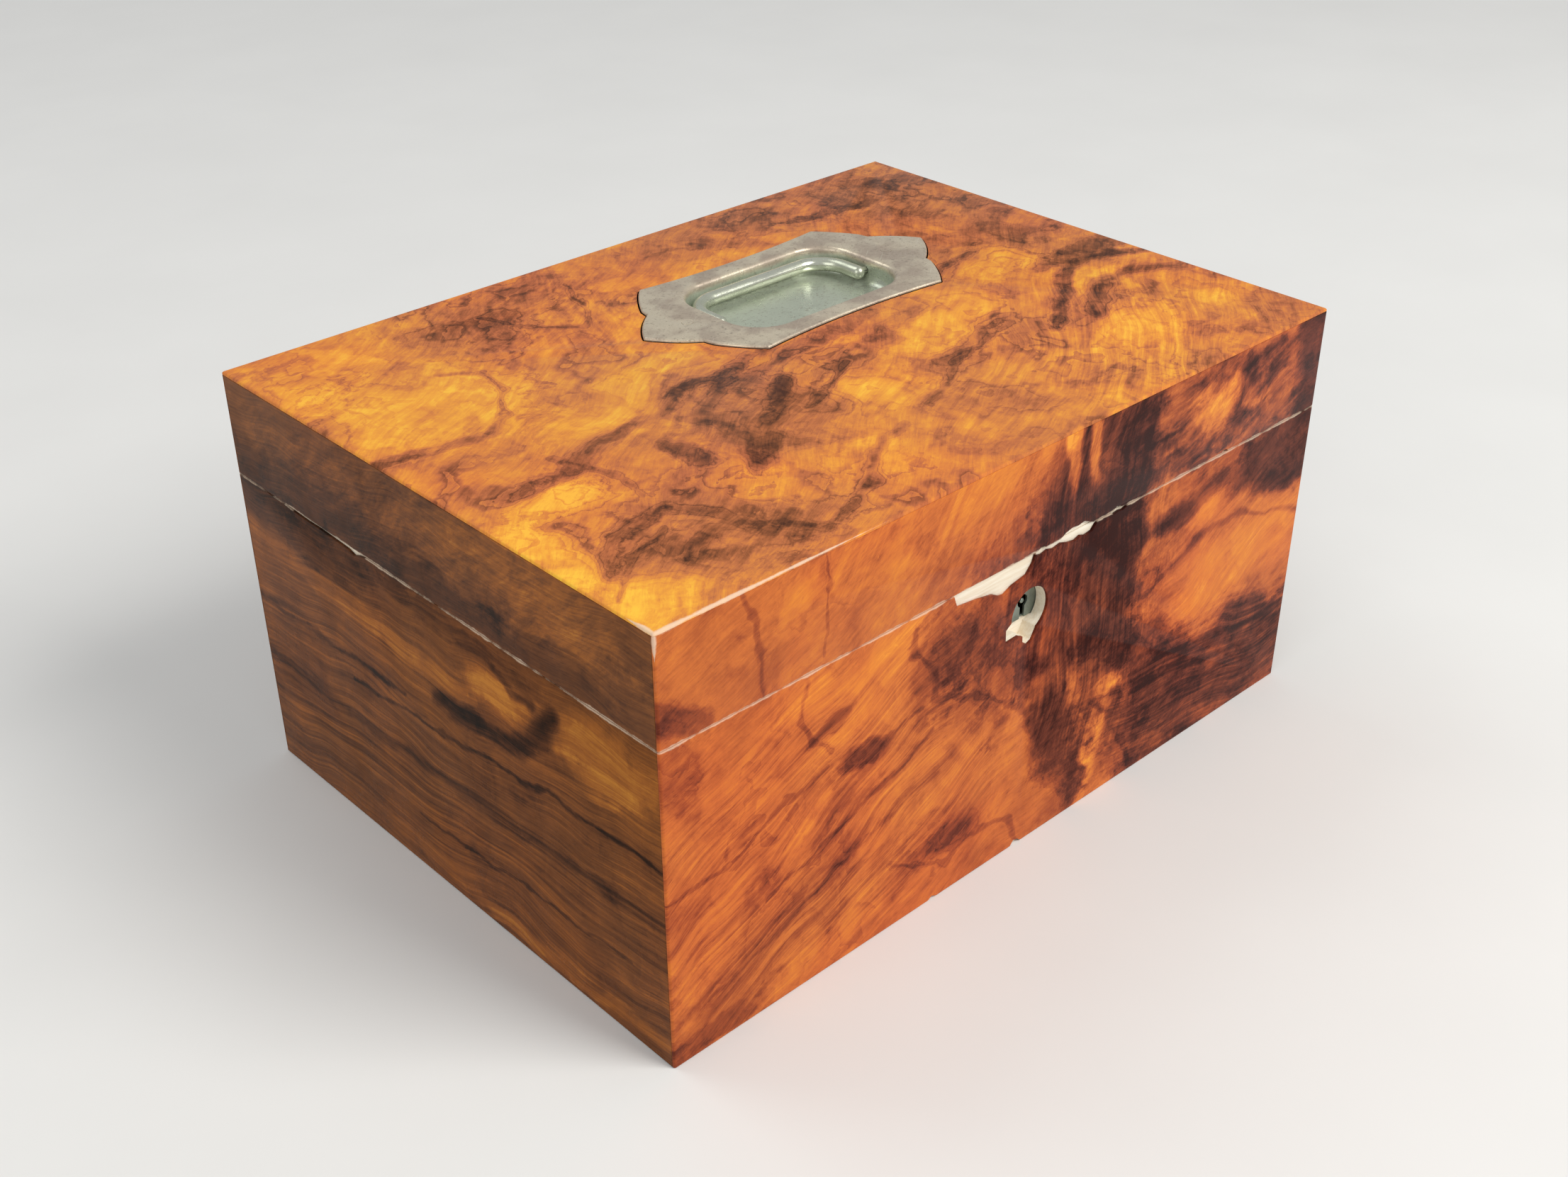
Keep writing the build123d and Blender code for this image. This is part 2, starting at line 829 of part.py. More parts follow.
lid_front_wall = long_wall(-1, lid_bottom, lid_ceiling)
lid_back_wall = long_wall(1, lid_bottom, lid_ceiling)

with BuildPart() as lid_top_board:
    with BuildSketch(Plane.XY.offset(lid_ceiling)):
        Rectangle(carcass_width, carcass_depth)
    extrude(amount=lid_board_thickness)
    with BuildSketch(Plane.XY.offset(lid_board_top)):
        with Locations(handle_centre):
            add(pan_outline(pan_wall + pan_seat_fit))
    extrude(amount=-(plate_bottom - pan_floor_z + pan_wall + pan_seat_fit), mode=Mode.SUBTRACT)
    boss_room = 2 * (boss_radius + pan_seat_fit)
    boss_reach = pan_half_length + pan_wall + boss_length + pan_seat_fit
    block(
        (handle_x - boss_reach, handle_x + boss_reach),
        about(handle_y, boss_room),
        (pivot_z - boss_room / 2, lid_board_top),
        Mode.SUBTRACT,
    )
    sink_screws(plate_pin_planes, plate_pin_length)
save(lid_top_board, "lid_top_board")

with BuildPart() as lid_front_board:
    add(lid_front_wall.part)
    block(
        about(lock_x, lock_plate_width, seat_fit),
        (link_plate_y[0] - seat_fit, lock_face_y),
        (lid_bottom, lid_bottom + lock_metal),
        Mode.SUBTRACT,
    )
    sink_screws(link_screw_planes)
save(lid_front_board, "lid_front_board")

with BuildPart() as lid_back_board:
    add(lid_back_wall.part)
    leaf_seat_cut(lid_bottom, lid_bottom + leaf_thickness)
    knuckle_room_cut()
    sink_screws(upper_leaf_screws)
save(lid_back_board, "lid_back_board")

lid_left_board = side_wall(-1, lid_bottom, lid_ceiling)
save(lid_left_board, "lid_left_board")

lid_right_board = side_wall(1, lid_bottom, lid_ceiling)
save(lid_right_board, "lid_right_board")

lid_front_sheet = long_veneer(-1, lid_bottom, lid_board_top)
lid_back_sheet = long_veneer(1, lid_bottom, lid_board_top)

with BuildPart() as lid_front_veneer:
    add(lid_front_sheet.part)
    for flake_points in (lid_flake, *lid_crumbs):
        chip(flake_points, lid_bottom, 1)
save(lid_front_veneer, "lid_front_veneer")

with BuildPart() as lid_back_veneer:
    add(lid_back_sheet.part)
    knuckle_room_cut()
save(lid_back_veneer, "lid_back_veneer")

lid_left_veneer = side_veneer(-1, lid_bottom, lid_board_top)
save(lid_left_veneer, "lid_left_veneer")

lid_right_veneer = side_veneer(1, lid_bottom, lid_board_top)
save(lid_right_veneer, "lid_right_veneer")

with BuildPart() as lid_top_veneer:
    with BuildSketch(Plane.XY.offset(lid_board_top)):
        Rectangle(box_width, box_depth)
    extrude(amount=veneer)
    fillet(lid_top_veneer.edges().filter_by(Axis.Z), edge_round)
    fillet(lid_top_veneer.faces().sort_by(Axis.Z)[-1].edges(), edge_round)
    with BuildSketch(Plane.XY.offset(lid_board_top)):
        with Locations(handle_centre):
            add(plate_outline(seat_fit))
    extrude(amount=veneer, mode=Mode.SUBTRACT)
save(lid_top_veneer, "lid_top_veneer")


# Link plate under the lid, with the two eyes that drop into the lock

with BuildPart() as lock_link_plate:
    block(about(lock_x, lock_plate_width), link_plate_y, (lid_bottom, lid_bottom + lock_metal))
    for centre in staple_centres:
        with BuildSketch(Plane.YZ.offset(centre - staple_thickness / 2)) as eye:
            with Locations((staple_y, lid_bottom - staple_drop / 2)):
                Rectangle(staple_width, staple_drop)
            fillet(eye.vertices().group_by(Axis.Z)[0], staple_round)
            with Locations((staple_y, eye_z)):
                Rectangle(staple_eye_width, staple_eye_height, mode=Mode.SUBTRACT)
        extrude(amount=staple_thickness)
    sink_screws(link_screw_planes)
save(lock_link_plate, "lock_link_plate")

link_plate_screws = screws(link_screw_planes)
save(link_plate_screws, "link_plate_screws")


# Lining of the lid: mitred frame strips round a crowned pad

frame_inner_width = inner_width - 2 * lining_frame_width
frame_inner_depth = inner_depth - 2 * lining_frame_width


def mitred_strip(length, inner_length, offset_to_wall):
    """A frame strip along its outer edge, with both ends cut to 45 degrees."""
    with BuildSketch() as strip:
        Polygon(
            (-length / 2, offset_to_wall),
            (length / 2, offset_to_wall),
            (inner_length / 2, offset_to_wall - lining_frame_width),
            (-inner_length / 2, offset_to_wall - lining_frame_width),
            align=None,
        )
    return strip.sketch


with BuildPart() as lid_lining_frame:
    for turn in (0, 180):
        with BuildSketch(Plane.XY.offset(lid_ceiling - lining_frame_thickness)):
            add(mitred_strip(inner_width, frame_inner_width, inner_depth / 2), rotation=turn)
        extrude(amount=lining_frame_thickness)
        with BuildSketch(Plane.XY.offset(lid_ceiling - lining_frame_thickness)):
            add(mitred_strip(inner_depth, frame_inner_depth, inner_width / 2), rotation=turn + 90)
        extrude(amount=lining_frame_thickness)
save(lid_lining_frame, "lid_lining_frame")

with BuildPart() as lid_lining_pad:
    with BuildSketch(Plane.XY.offset(lid_ceiling)):
        Rectangle(frame_inner_width - 2 * lining_pad_gap, frame_inner_depth - 2 * lining_pad_gap)
    extrude(amount=-lining_pad_thickness)
    fillet(lid_lining_pad.faces().sort_by(Axis.Z)[0].edges(), lining_pad_round)
save(lid_lining_pad, "lid_lining_pad")


# Tray

tray_width = inner_width - 2 * tray_gap
tray_depth = inner_depth - 2 * tray_gap
tray_inner_width = tray_width - 2 * tray_wall
tray_inner_depth = tray_depth - 2 * tray_wall
tray_top = tray_floor_z + tray_height
tray_inside_z = tray_floor_z + tray_floor_thickness
divider_top = tray_top - divider_drop


def tray_board(width, depth, centre):
    """A tray wall with its top edge rounded over."""
    with BuildPart() as board:
        with BuildSketch(Plane.XY.offset(tray_floor_z)):
            with Locations(centre):
                Rectangle(width, depth)
        extrude(amount=tray_height)
        along = Axis.X if width > depth else Axis.Y
        fillet(board.faces().sort_by(Axis.Z)[-1].edges().filter_by(along), tray_round)
    return board


for end, name in ((-1, "tray_front_wall"), (1, "tray_back_wall")):
    save(tray_board(tray_width, tray_wall, (0, end * (tray_depth - tray_wall) / 2)), name)
for side, name in ((-1, "tray_left_wall"), (1, "tray_right_wall")):
    save(tray_board(tray_wall, tray_inner_depth, (side * (tray_width - tray_wall) / 2, 0)), name)

with BuildPart() as tray_floor:
    with BuildSketch(Plane.XY.offset(tray_floor_z)):
        Rectangle(tray_inner_width, tray_inner_depth)
    extrude(amount=tray_floor_thickness)
save(tray_floor, "tray_floor")

divider_height = divider_top - tray_inside_z
halving_z = tray_inside_z + divider_height / 2
cross_start = front_row_y + divider_thickness / 2
cross_end = tray_inner_depth / 2
columns = (-column_x, column_x)

with BuildPart() as tray_long_dividers:
    for row in (front_row_y, back_row_y):
        block(
            about(0, tray_inner_width),
            about(row, divider_thickness),
            (tray_inside_z, divider_top),
        )
    for column in columns:
        block(
            about(column, divider_thickness, divider_fit),
            about(back_row_y, divider_thickness),
            (halving_z, divider_top),
            Mode.SUBTRACT,
        )
save(tray_long_dividers, "tray_long_dividers")

with BuildPart() as tray_cross_dividers:
    for column in columns:
        block(
            about(column, divider_thickness),
            (cross_start, cross_end),
            (tray_inside_z, divider_top),
        )
        block(
            about(column, divider_thickness),
            about(back_row_y, divider_thickness, divider_fit),
            (tray_inside_z, halving_z),
            Mode.SUBTRACT,
        )
save(tray_cross_dividers, "tray_cross_dividers")

cushion_width = 2 * column_x - divider_thickness - 2 * cushion_gap
cushion_depth = back_row_y - front_row_y - divider_thickness - 2 * cushion_gap
cushion_height = tray_top + cushion_rise - tray_inside_z

with BuildPart() as pincushion:
    with BuildSketch(Plane.XY.offset(tray_inside_z)):
        with Locations((0, (front_row_y + back_row_y) / 2)):
            RectangleRounded(cushion_width, cushion_depth, cushion_corner)
    extrude(amount=cushion_height)
    fillet(pincushion.faces().sort_by(Axis.Z)[-1].edges(), cushion_crown)
save(pincushion, "pincushion")

with BuildPart() as tray_tabs:
    for side in (-1, 1):
        start = min(side * tray_inner_width / 2, side * (tray_inner_width / 2 - tab_thickness))
        with BuildSketch(Plane.YZ.offset(start)) as tab:
            with Locations((0, tray_top + tab_rise - tab_length / 2)):
                Rectangle(tab_width, tab_length)
            fillet(tab.vertices().group_by(Axis.Z)[-1], tab_round)
        extrude(amount=tab_thickness)
save(tray_tabs, "tray_tabs")
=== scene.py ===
"""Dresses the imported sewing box: figured walnut, flush handle, lock, hinges, linings and tray."""

from __future__ import annotations

import json
import logging
import math
from collections.abc import Callable
from dataclasses import dataclass
from enum import Enum

import bpy
from mathutils import Matrix, Vector

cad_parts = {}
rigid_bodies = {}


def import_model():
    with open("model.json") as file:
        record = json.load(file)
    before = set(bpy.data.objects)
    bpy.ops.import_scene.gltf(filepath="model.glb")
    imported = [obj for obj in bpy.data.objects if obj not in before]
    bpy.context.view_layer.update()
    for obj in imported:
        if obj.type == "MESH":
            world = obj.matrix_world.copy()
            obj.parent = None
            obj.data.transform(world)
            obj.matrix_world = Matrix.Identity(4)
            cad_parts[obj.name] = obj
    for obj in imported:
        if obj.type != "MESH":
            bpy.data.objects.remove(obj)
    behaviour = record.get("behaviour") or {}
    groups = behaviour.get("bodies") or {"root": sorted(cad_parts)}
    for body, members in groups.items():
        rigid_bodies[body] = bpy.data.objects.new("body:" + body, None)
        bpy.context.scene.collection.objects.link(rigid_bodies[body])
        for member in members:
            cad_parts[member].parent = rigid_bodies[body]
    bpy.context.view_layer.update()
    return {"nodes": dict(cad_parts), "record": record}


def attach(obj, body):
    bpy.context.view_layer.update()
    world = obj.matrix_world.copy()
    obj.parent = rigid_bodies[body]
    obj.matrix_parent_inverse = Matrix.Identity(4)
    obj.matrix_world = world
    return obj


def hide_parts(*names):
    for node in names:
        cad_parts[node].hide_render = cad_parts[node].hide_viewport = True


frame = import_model()
log = logging.getLogger("sewing_box")

MM = 0.001
RGB = tuple[float, float, float]


def linear(red: float, green: float, blue: float) -> tuple[float, float, float, float]:
    """Turns a display colour into the linear colour that a shader takes.

    Args:
        red: Red from 0 to 1, as seen.
        green: Green from 0 to 1, as seen.
        blue: Blue from 0 to 1, as seen.

    Returns:
        The linear colour with full alpha.
    """
    parts = [c / 12.92 if c <= 0.04045 else ((c + 0.055) / 1.055) ** 2.4 for c in (red, green, blue)]
    return (parts[0], parts[1], parts[2], 1.0)


class Value:
    """A shader socket that takes part in Python sums."""

    def __init__(self, bench: "Bench", socket: bpy.types.NodeSocket) -> None:
        """Keeps the socket and the bench that it came from."""
        self.bench = bench
        self.socket = socket

    def __add__(self, other: "Value | float") -> "Value":
        """Adds."""
        return self.bench.maths("ADD", self, other)

    __radd__ = __add__

    def __sub__(self, other: "Value | float") -> "Value":
        """Takes away."""
        return self.bench.maths("SUBTRACT", self, other)

    def __rsub__(self, other: "Value | float") -> "Value":
        """Takes this away from a number."""
        return self.bench.maths("SUBTRACT", other, self)

    def __mul__(self, other: "Value | float") -> "Value":
        """Multiplies."""
        return self.bench.maths("MULTIPLY", self, other)

    __rmul__ = __mul__

    def __truediv__(self, other: "Value | float") -> "Value":
        """Divides."""
        return self.bench.maths("DIVIDE", self, other)

    def __pow__(self, other: "Value | float") -> "Value":
        """Raises to a power."""
        return self.bench.maths("POWER", self, other)

    def __abs__(self) -> "Value":
        """Drops the sign."""
        return self.bench.maths("ABSOLUTE", self)

    def least(self, other: "Value | float") -> "Value":
        """The smaller of the two."""
        return self.bench.maths("MINIMUM", self, other)

    def near(self, other: "Value", by: float) -> "Value":
        """The smaller of the two, rounded over where they meet."""
        node = self.bench.node("ShaderNodeMath", {"operation": "SMOOTH_MIN"}, {0: self, 1: other, 2: by})
        return Value(self.bench, node.outputs[0])

    def most(self, other: "Value | float") -> "Value":
        """The larger of the two."""
        return self.bench.maths("MAXIMUM", self, other)

    def part(self) -> "Value":
        """What is left over a whole number."""
        return self.bench.maths("FRACT", self)


class Bench:
    """The nodes of one material, with a method for each kind of step."""

    def __init__(self, name: str) -> None:
        """Starts an empty material.

        Args:
            name: The material's name.
        """
        self.material = bpy.data.materials.new(name)
        self.material.use_nodes = True
        self.tree = self.material.node_tree
        self.tree.nodes.clear()
        self.output = self.node("ShaderNodeOutputMaterial")

    def node(self, kind: str, settings: dict | None = None, sockets: dict | None = None) -> bpy.types.Node:
        """Makes one node.

        Args:
            kind: The node's type.
            settings: Its properties; "stops" fills a colour ramp.
            sockets: Numbers or links for its inputs, by name or number.

        Returns:
            The node.
        """
        node = self.tree.nodes.new(kind)
        for key, value in (settings or {}).items():
            if key == "stops":
                self._fill_ramp(node, value)
            else:
                setattr(node, key, value)
        for key, value in (sockets or {}).items():
            if isinstance(value, Value):
                self.tree.links.new(value.socket, node.inputs[key])
            else:
                node.inputs[key].default_value = value
        return node

    @staticmethod
    def _fill_ramp(node: bpy.types.Node, stops: tuple[tuple[float, RGB], ...]) -> None:
        """Sets the stops of a colour ramp from display colours."""
        elements = node.color_ramp.elements
        while len(elements) < len(stops):
            elements.new(0.5)
        for element, (place, colour) in zip(elements, stops):
            element.position = place
            element.color = linear(*colour)

    def maths(self, operation: str, first: Value | float, second: Value | float = 0.0) -> Value:
        """Does one sum on one or two numbers."""
        node = self.node("ShaderNodeMath", {"operation": operation}, {0: first, 1: second})
        return Value(self, node.outputs[0])

    def vector(self, operation: str, first: Value | tuple, second: Value | tuple = (0.0, 0.0, 0.0)) -> Value:
        """Does one sum on vectors; a length or a dot product gives a number."""
        node = self.node("ShaderNodeVectorMath", {"operation": operation}, {0: first, 1: second})
        number = operation in ("LENGTH", "DOT_PRODUCT", "DISTANCE")
        return Value(self, node.outputs[1 if number else 0])

    def scaled(self, vector: Value, factor: Value | float) -> Value:
        """Multiplies a vector by a number."""
        node = self.node("ShaderNodeVectorMath", {"operation": "SCALE"}, {0: vector, "Scale": factor})
        return Value(self, node.outputs[0])

    def place(self) -> Value:
        """The point on the piece in millimetres, from Object coordinates."""
        node = self.node("ShaderNodeTexCoord")
        return self.scaled(Value(self, node.outputs["Object"]), 1 / MM)

    def split(self, vector: Value) -> tuple[Value, Value, Value]:
        """The three parts of a vector."""
        node = self.node("ShaderNodeSeparateXYZ", None, {0: vector})
        return Value(self, node.outputs[0]), Value(self, node.outputs[1]), Value(self, node.outputs[2])

    def join(self, x: Value | float, y: Value | float, z: Value | float = 0.0) -> Value:
        """A vector from three numbers."""
        node = self.node("ShaderNodeCombineXYZ", None, {0: x, 1: y, 2: z})
        return Value(self, node.outputs[0])

    def levelled(self, vector: Value) -> Value:
        """The same point with 1 as its third part."""
        return self.vector("ADD", self.vector("MULTIPLY", vector, (1.0, 1.0, 0.0)), (0.0, 0.0, 1.0))

    def along(self, flat: Value, centre: tuple[float, float], turn: float, size: float) -> Value:
        """How far a flat point lies from a centre in one direction, as a share of a size.

        Dot products alone keep the compiled shader small: no vector waits on a change of type.

        Args:
            flat: The point, with 1 as its third part.
            centre: Where the distance starts.
            turn: The direction, in degrees from across.
            size: The length that counts as 1.

        Returns:
            The signed distance.
        """
        right, up = math.cos(math.radians(turn)) / size, math.sin(math.radians(turn)) / size
        return self.vector("DOT_PRODUCT", flat, (right, up, -centre[0] * right - centre[1] * up))

    def local(self, vector: Value, centre: tuple, turn: float, size: tuple) -> Value:
        """Brings a point into the frame of a patch: centred, turned back and divided by its size."""
        node = self.node(
            "ShaderNodeMapping",
            {"vector_type": "TEXTURE"},
            {
                "Vector": vector,
                "Location": centre,
                "Rotation": (0.0, 0.0, math.radians(turn)),
                "Scale": size,
            },
        )
        return Value(self, node.outputs[0])

    def noise(
        self, vector: Value, scale: float, detail: float = 3.0, rough: float = 0.5, twist: float = 0.0
    ) -> Value:
        """Smooth noise from 0 to 1."""
        node = self._noise(vector, scale, detail, rough, twist)
        return Value(self, node.outputs[0])

    def drift(self, vector: Value, scale: float, amount: float, detail: float = 2.0) -> Value:
        """Moves points about by noise, in every direction alike."""
        node = self._noise(vector, scale, detail, 0.5, 0.0)
        centred = self.vector("SUBTRACT", Value(self, node.outputs[1]), (0.5, 0.5, 0.5))
        return self.vector("ADD", vector, self.scaled(centred, amount))

    def _noise(
        self, vector: Value, scale: float, detail: float, rough: float, twist: float
    ) -> bpy.types.Node:
        """The noise node itself."""
        return self.node(
            "ShaderNodeTexNoise",
            {"noise_dimensions": "3D"},
            {"Vector": vector, "Scale": scale, "Detail": detail, "Roughness": rough, "Distortion": twist},
        )

    def cells(self, vector: Value, scale: float) -> Value:
        """The distance to the nearest of scattered points."""
        node = self.node("ShaderNodeTexVoronoi", {"feature": "F1"}, {"Vector": vector, "Scale": scale})
        return Value(self, node.outputs[0])

    def rise(self, value: Value, low: float, high: float, start: float = 0.0, end: float = 1.0) -> Value:
        """Goes smoothly from start to end as the value goes from low to high."""
        node = self.node(
            "ShaderNodeMapRange",
            {"interpolation_type": "SMOOTHSTEP"},
            {"Value": value, "From Min": low, "From Max": high, "To Min": start, "To Max": end},
        )
        return Value(self, node.outputs[0])

    def ramp(self, value: Value, stops: tuple[tuple[float, RGB], ...]) -> Value:
        """A colour picked along a row of stops."""
        node = self.node("ShaderNodeValToRGB", {"stops": stops}, {0: value})
        return Value(self, node.outputs[0])

    def blend(
        self, factor: Value | float, first: Value | tuple, second: Value | tuple, way: str = "MIX"
    ) -> Value:
        """Mixes two colours."""
        node = self.node(
            "ShaderNodeMix",
            {"data_type": "RGBA", "blend_type": way},
            {0: factor, 6: first, 7: second},
        )
        return Value(self, node.outputs[2])

    def bump(self, height: Value, depth_mm: float, strength: float = 1.0) -> Value:
        """A bumped normal from a height of 0 to 1."""
        node = self.node(
            "ShaderNodeBump", None, {"Height": height, "Distance": depth_mm * MM, "Strength": strength}
        )
        return Value(self, node.outputs[0])

    def shade(self, sockets: dict) -> bpy.types.Material:
        """Ends the material in one Principled shader.

        Args:
            sockets: Numbers or links for its inputs.

        Returns:
            The finished material.
        """
        shader = self.node("ShaderNodeBsdfPrincipled", None, sockets)
        self.tree.links.new(shader.outputs[0], self.output.inputs[0])
        return self.material


class Face(Enum):
    """The faces of the closed box that carry veneer."""

    TOP = "top"
    FRONT = "front"
    LEFT = "left"
    RIGHT = "right"
    BACK = "back"


@dataclass(frozen=True)
class Patch:
    """A torn-edged patch of lighter or darker wood, in millimetres on its face."""

    across: float
    up: float
    long: float
    short: float
    turn: float
    tone: float


@dataclass(frozen=True)
class Vein:
    """A dark line through some points of its face, in millimetres."""

    points: tuple[tuple[float, float], ...]
    width: float
    depth: float


@dataclass(frozen=True)
class Grain:
    """Drawn-out streaks, over the whole face or over one patch of it."""

    turn: float
    long: float
    short: float
    depth: float
    over: Patch | None = None


GOLDEN_WALNUT = (
    (0.00, (0.29, 0.17, 0.12)),
    (0.16, (0.42, 0.25, 0.16)),
    (0.32, (0.58, 0.34, 0.21)),
    (0.48, (0.74, 0.44, 0.27)),
    (0.64, (0.85, 0.53, 0.26)),
    (0.82, (0.93, 0.64, 0.25)),
    (1.00, (0.98, 0.76, 0.27)),
)
RED_WALNUT = (
    (0.00, (0.18, 0.06, 0.05)),
    (0.12, (0.27, 0.11, 0.08)),
    (0.30, (0.42, 0.20, 0.14)),
    (0.50, (0.63, 0.31, 0.18)),
    (0.70, (0.80, 0.44, 0.22)),
    (0.86, (0.87, 0.52, 0.22)),
    (1.00, (0.93, 0.62, 0.24)),
)
BROWN_WALNUT = (
    (0.00, (0.07, 0.04, 0.02)),
    (0.20, (0.18, 0.10, 0.05)),
    (0.40, (0.33, 0.19, 0.10)),
    (0.60, (0.47, 0.28, 0.14)),
    (0.80, (0.62, 0.37, 0.16)),
    (1.00, (0.76, 0.50, 0.20)),
)


@dataclass(frozen=True)
class Walnut:
    """Figured walnut under French polish, laid out for one face of the box."""

    face: Face
    colours: tuple[tuple[float, RGB], ...]
    tone: float
    burr: float
    rings: float
    speckle: float
    fibre_turn: float
    grains: tuple[Grain, ...]
    patches: tuple[Patch, ...] = ()
    veins: tuple[Vein, ...] = ()
    blush: float = 0.45
    seed: float = 0.0

    def plane(self, bench: Bench, point: Value) -> tuple[Value, Value]:
        """The two directions along this face, in millimetres from its lower left corner.

        Args:
            bench: The material being made.
            point: The point on the piece.

        Returns:
            How far across and how far up the face the point is.
        """
        x, y, z = bench.split(point)
        half_width, half_depth = 150.0, 108.5
        if self.face is Face.TOP:
            return x + half_width, y + half_depth
        if self.face is Face.FRONT:
            return x + half_width, z
        if self.face is Face.BACK:
            return half_width - x, z
        if self.face is Face.LEFT:
            return half_depth - y, z
        return y + half_depth, z

    def patch_tone(self, bench: Bench, flat: Value, ragged: Value, patch: Patch) -> Value:
        """The tone that one patch adds, with its edge torn by the ragged noise."""
        centre = (patch.across, patch.up)
        along = bench.along(flat, centre, patch.turn, patch.long)
        aside = bench.along(flat, centre, patch.turn + 90.0, patch.short)
        distance = (along * along + aside * aside) ** 0.5
        return bench.rise(distance + ragged, 0.50, 1.20, patch.tone, 0.0)

    def vein_tone(self, bench: Bench, flat: Value, ragged: Value, vein: Vein) -> Value:
        """The tone that one vein takes away."""
        nearest = None
        for start, end in zip(vein.points, vein.points[1:]):
            across, up = end[0] - start[0], end[1] - start[1]
            length = math.hypot(across, up)
            turn = math.degrees(math.atan2(up, across))
            middle = ((start[0] + end[0]) / 2, (start[1] + end[1]) / 2)
            beyond = (abs(bench.along(flat, middle, turn, 1.0)) - length / 2).most(0.0)
            aside = bench.along(flat, middle, turn + 90.0, 1.0)
            distance = (beyond * beyond + aside * aside) ** 0.5
            nearest = distance if nearest is None else nearest.near(distance, 5.0)
        return bench.rise(nearest + ragged * (vein.width * 0.9), 0.0, vein.width, -vein.depth, 0.0)

    def make(self) -> bpy.types.Material:
        """Builds the material."""
        bench = Bench(f"walnut_{self.face.value}")
        point = bench.place()
        across, up = self.plane(bench, point)
        flat = bench.join(across, up, self.seed)
        swept = bench.drift(flat, 0.012, 34.0, 2.0)
        torn = bench.drift(flat, 0.035, 17.0, 6.0)
        flat_torn = bench.levelled(torn)
        ragged = (bench.noise(torn, 0.07, 9.0, 0.68) - 0.5) * 1.5
        drawn = bench.levelled(bench.drift(flat, 0.06, 9.0, 5.0))

        lay = None
        for patch in self.patches:
            tone = self.patch_tone(bench, flat_torn, ragged, patch)
            lay = tone if lay is None else lay + tone
        for vein in self.veins:
            lay = lay + self.vein_tone(bench, drawn, ragged, vein)
        dark = (lay * -1.0).most(0.0)
        shadow = dark / (dark + 0.8) * 0.78
        lay = lay.most(0.0) - shadow
        curled = bench.drift(torn, 0.09, 7.0, 3.0)
        form = (bench.noise(curled, 0.045, 3.0, 0.5) - 0.5) * (self.burr * 1.5) + (lay + self.tone)
        crumb = (bench.noise(curled, 0.12, 8.0, 0.7) - 0.5) * self.burr
        rough = crumb * (shadow * (2.2 * self.speckle) + 0.9)
        shown = bench.rise(bench.noise(flat, 0.016, 2.0), 0.40, 0.60, 0.35, 1.0)
        outline = bench.rise((form * 7.0).part(), 0.0, 0.42, self.rings, 0.0) * shown
        ink = bench.noise(bench.drift(swept, 0.07, 9.0, 5.0), 0.055, 9.0, 0.66, 0.3)
        wisps = abs(bench.noise(bench.drift(torn, 0.12, 5.0, 3.0), 0.06, 5.0, 0.6) - 0.5)
        tone = form + rough - outline - bench.rise(ink + shadow * 0.3, 0.56, 0.80, 0.0, 0.20)
        tone = tone - bench.rise(wisps, 0.0, 0.035, 0.30, 0.0) * (shadow + 0.16) * self.speckle
        for grain in self.grains:
            pulled = bench.local(swept, (0.0, 0.0, 0.0), grain.turn, (grain.long, grain.short, 40.0))
            streak = (bench.noise(pulled, 1.0, 6.0, 0.66, 0.35) - 0.5) * (2.4 * grain.depth)
            if grain.over:
                streak = streak * self.patch_tone(bench, flat_torn, ragged, grain.over)
            tone = tone + streak
        fibre = bench.noise(bench.local(swept, (0, 0, 0), self.fibre_turn, (9.0, 0.8, 9.0)), 1.0, 5.0, 0.72)
        pores = bench.noise(bench.local(swept, (0, 0, 0), self.fibre_turn, (2.6, 0.32, 4.0)), 1.0, 2.0, 0.6)
        tone = tone + (fibre - 0.5) * 0.34 - bench.rise(pores, 0.62, 0.72, 0.0, 0.12)
        blush = bench.rise(bench.noise(swept, 0.014, 3.0), 0.40, 0.64, 0.0, self.blush)
        colour = bench.ramp(tone, self.colours)
        colour = bench.blend(blush, colour, bench.blend(1.0, colour, (1.0, 0.74, 0.86, 1.0), "MULTIPLY"))

        worn = self.worn(bench, point)
        colour = bench.blend(worn, colour, linear(0.93, 0.84, 0.74))
        smears = bench.noise(point, 0.05, 4.0, 0.6)
        polish = bench.bump(bench.noise(point, 0.03, 3.0, 0.5) + fibre * 0.05 - worn * 0.2, 0.22, 0.5)
        return bench.shade(
            {
                "Base Color": colour,
                "Roughness": bench.rise(smears, 0.3, 0.75, 0.22, 0.40) + worn * 0.3,
                "Specular IOR Level": 0.07,
                "Specular Tint": linear(0.98, 0.66, 0.48),
                "Coat Weight": 0.03,
                "Coat Roughness": 0.07,
                "Normal": polish,
            }
        )

    def worn(self, bench: Bench, point: Value) -> Value:
        """Where the polish and colour are rubbed off along the box's edges."""
        x, y, z = bench.split(point)
        side = 150.0 - abs(x)
        end = 108.5 - abs(y)
        top = 150.0 - z
        seam = abs(z - 113.3).least(abs(z - 113.0))
        nearest = side.most(end).least(side.most(top)).least(end.most(top))
        patchy = bench.noise(point, 0.11, 6.0, 0.62)
        handled = bench.rise(x, -60.0, -146.0) * bench.rise(y, -96.0, -106.0) * bench.rise(z, 140.0, 148.0)
        reach = handled * 1.3 + 0.26
        edge = bench.rise(nearest / reach + patchy * 1.7, 1.15, 1.65, 1.0, 0.0)
        line = bench.rise(seam + patchy * 2.6, 1.35, 1.85, 0.75, 0.0)
        return (edge.most(line)) * 0.72


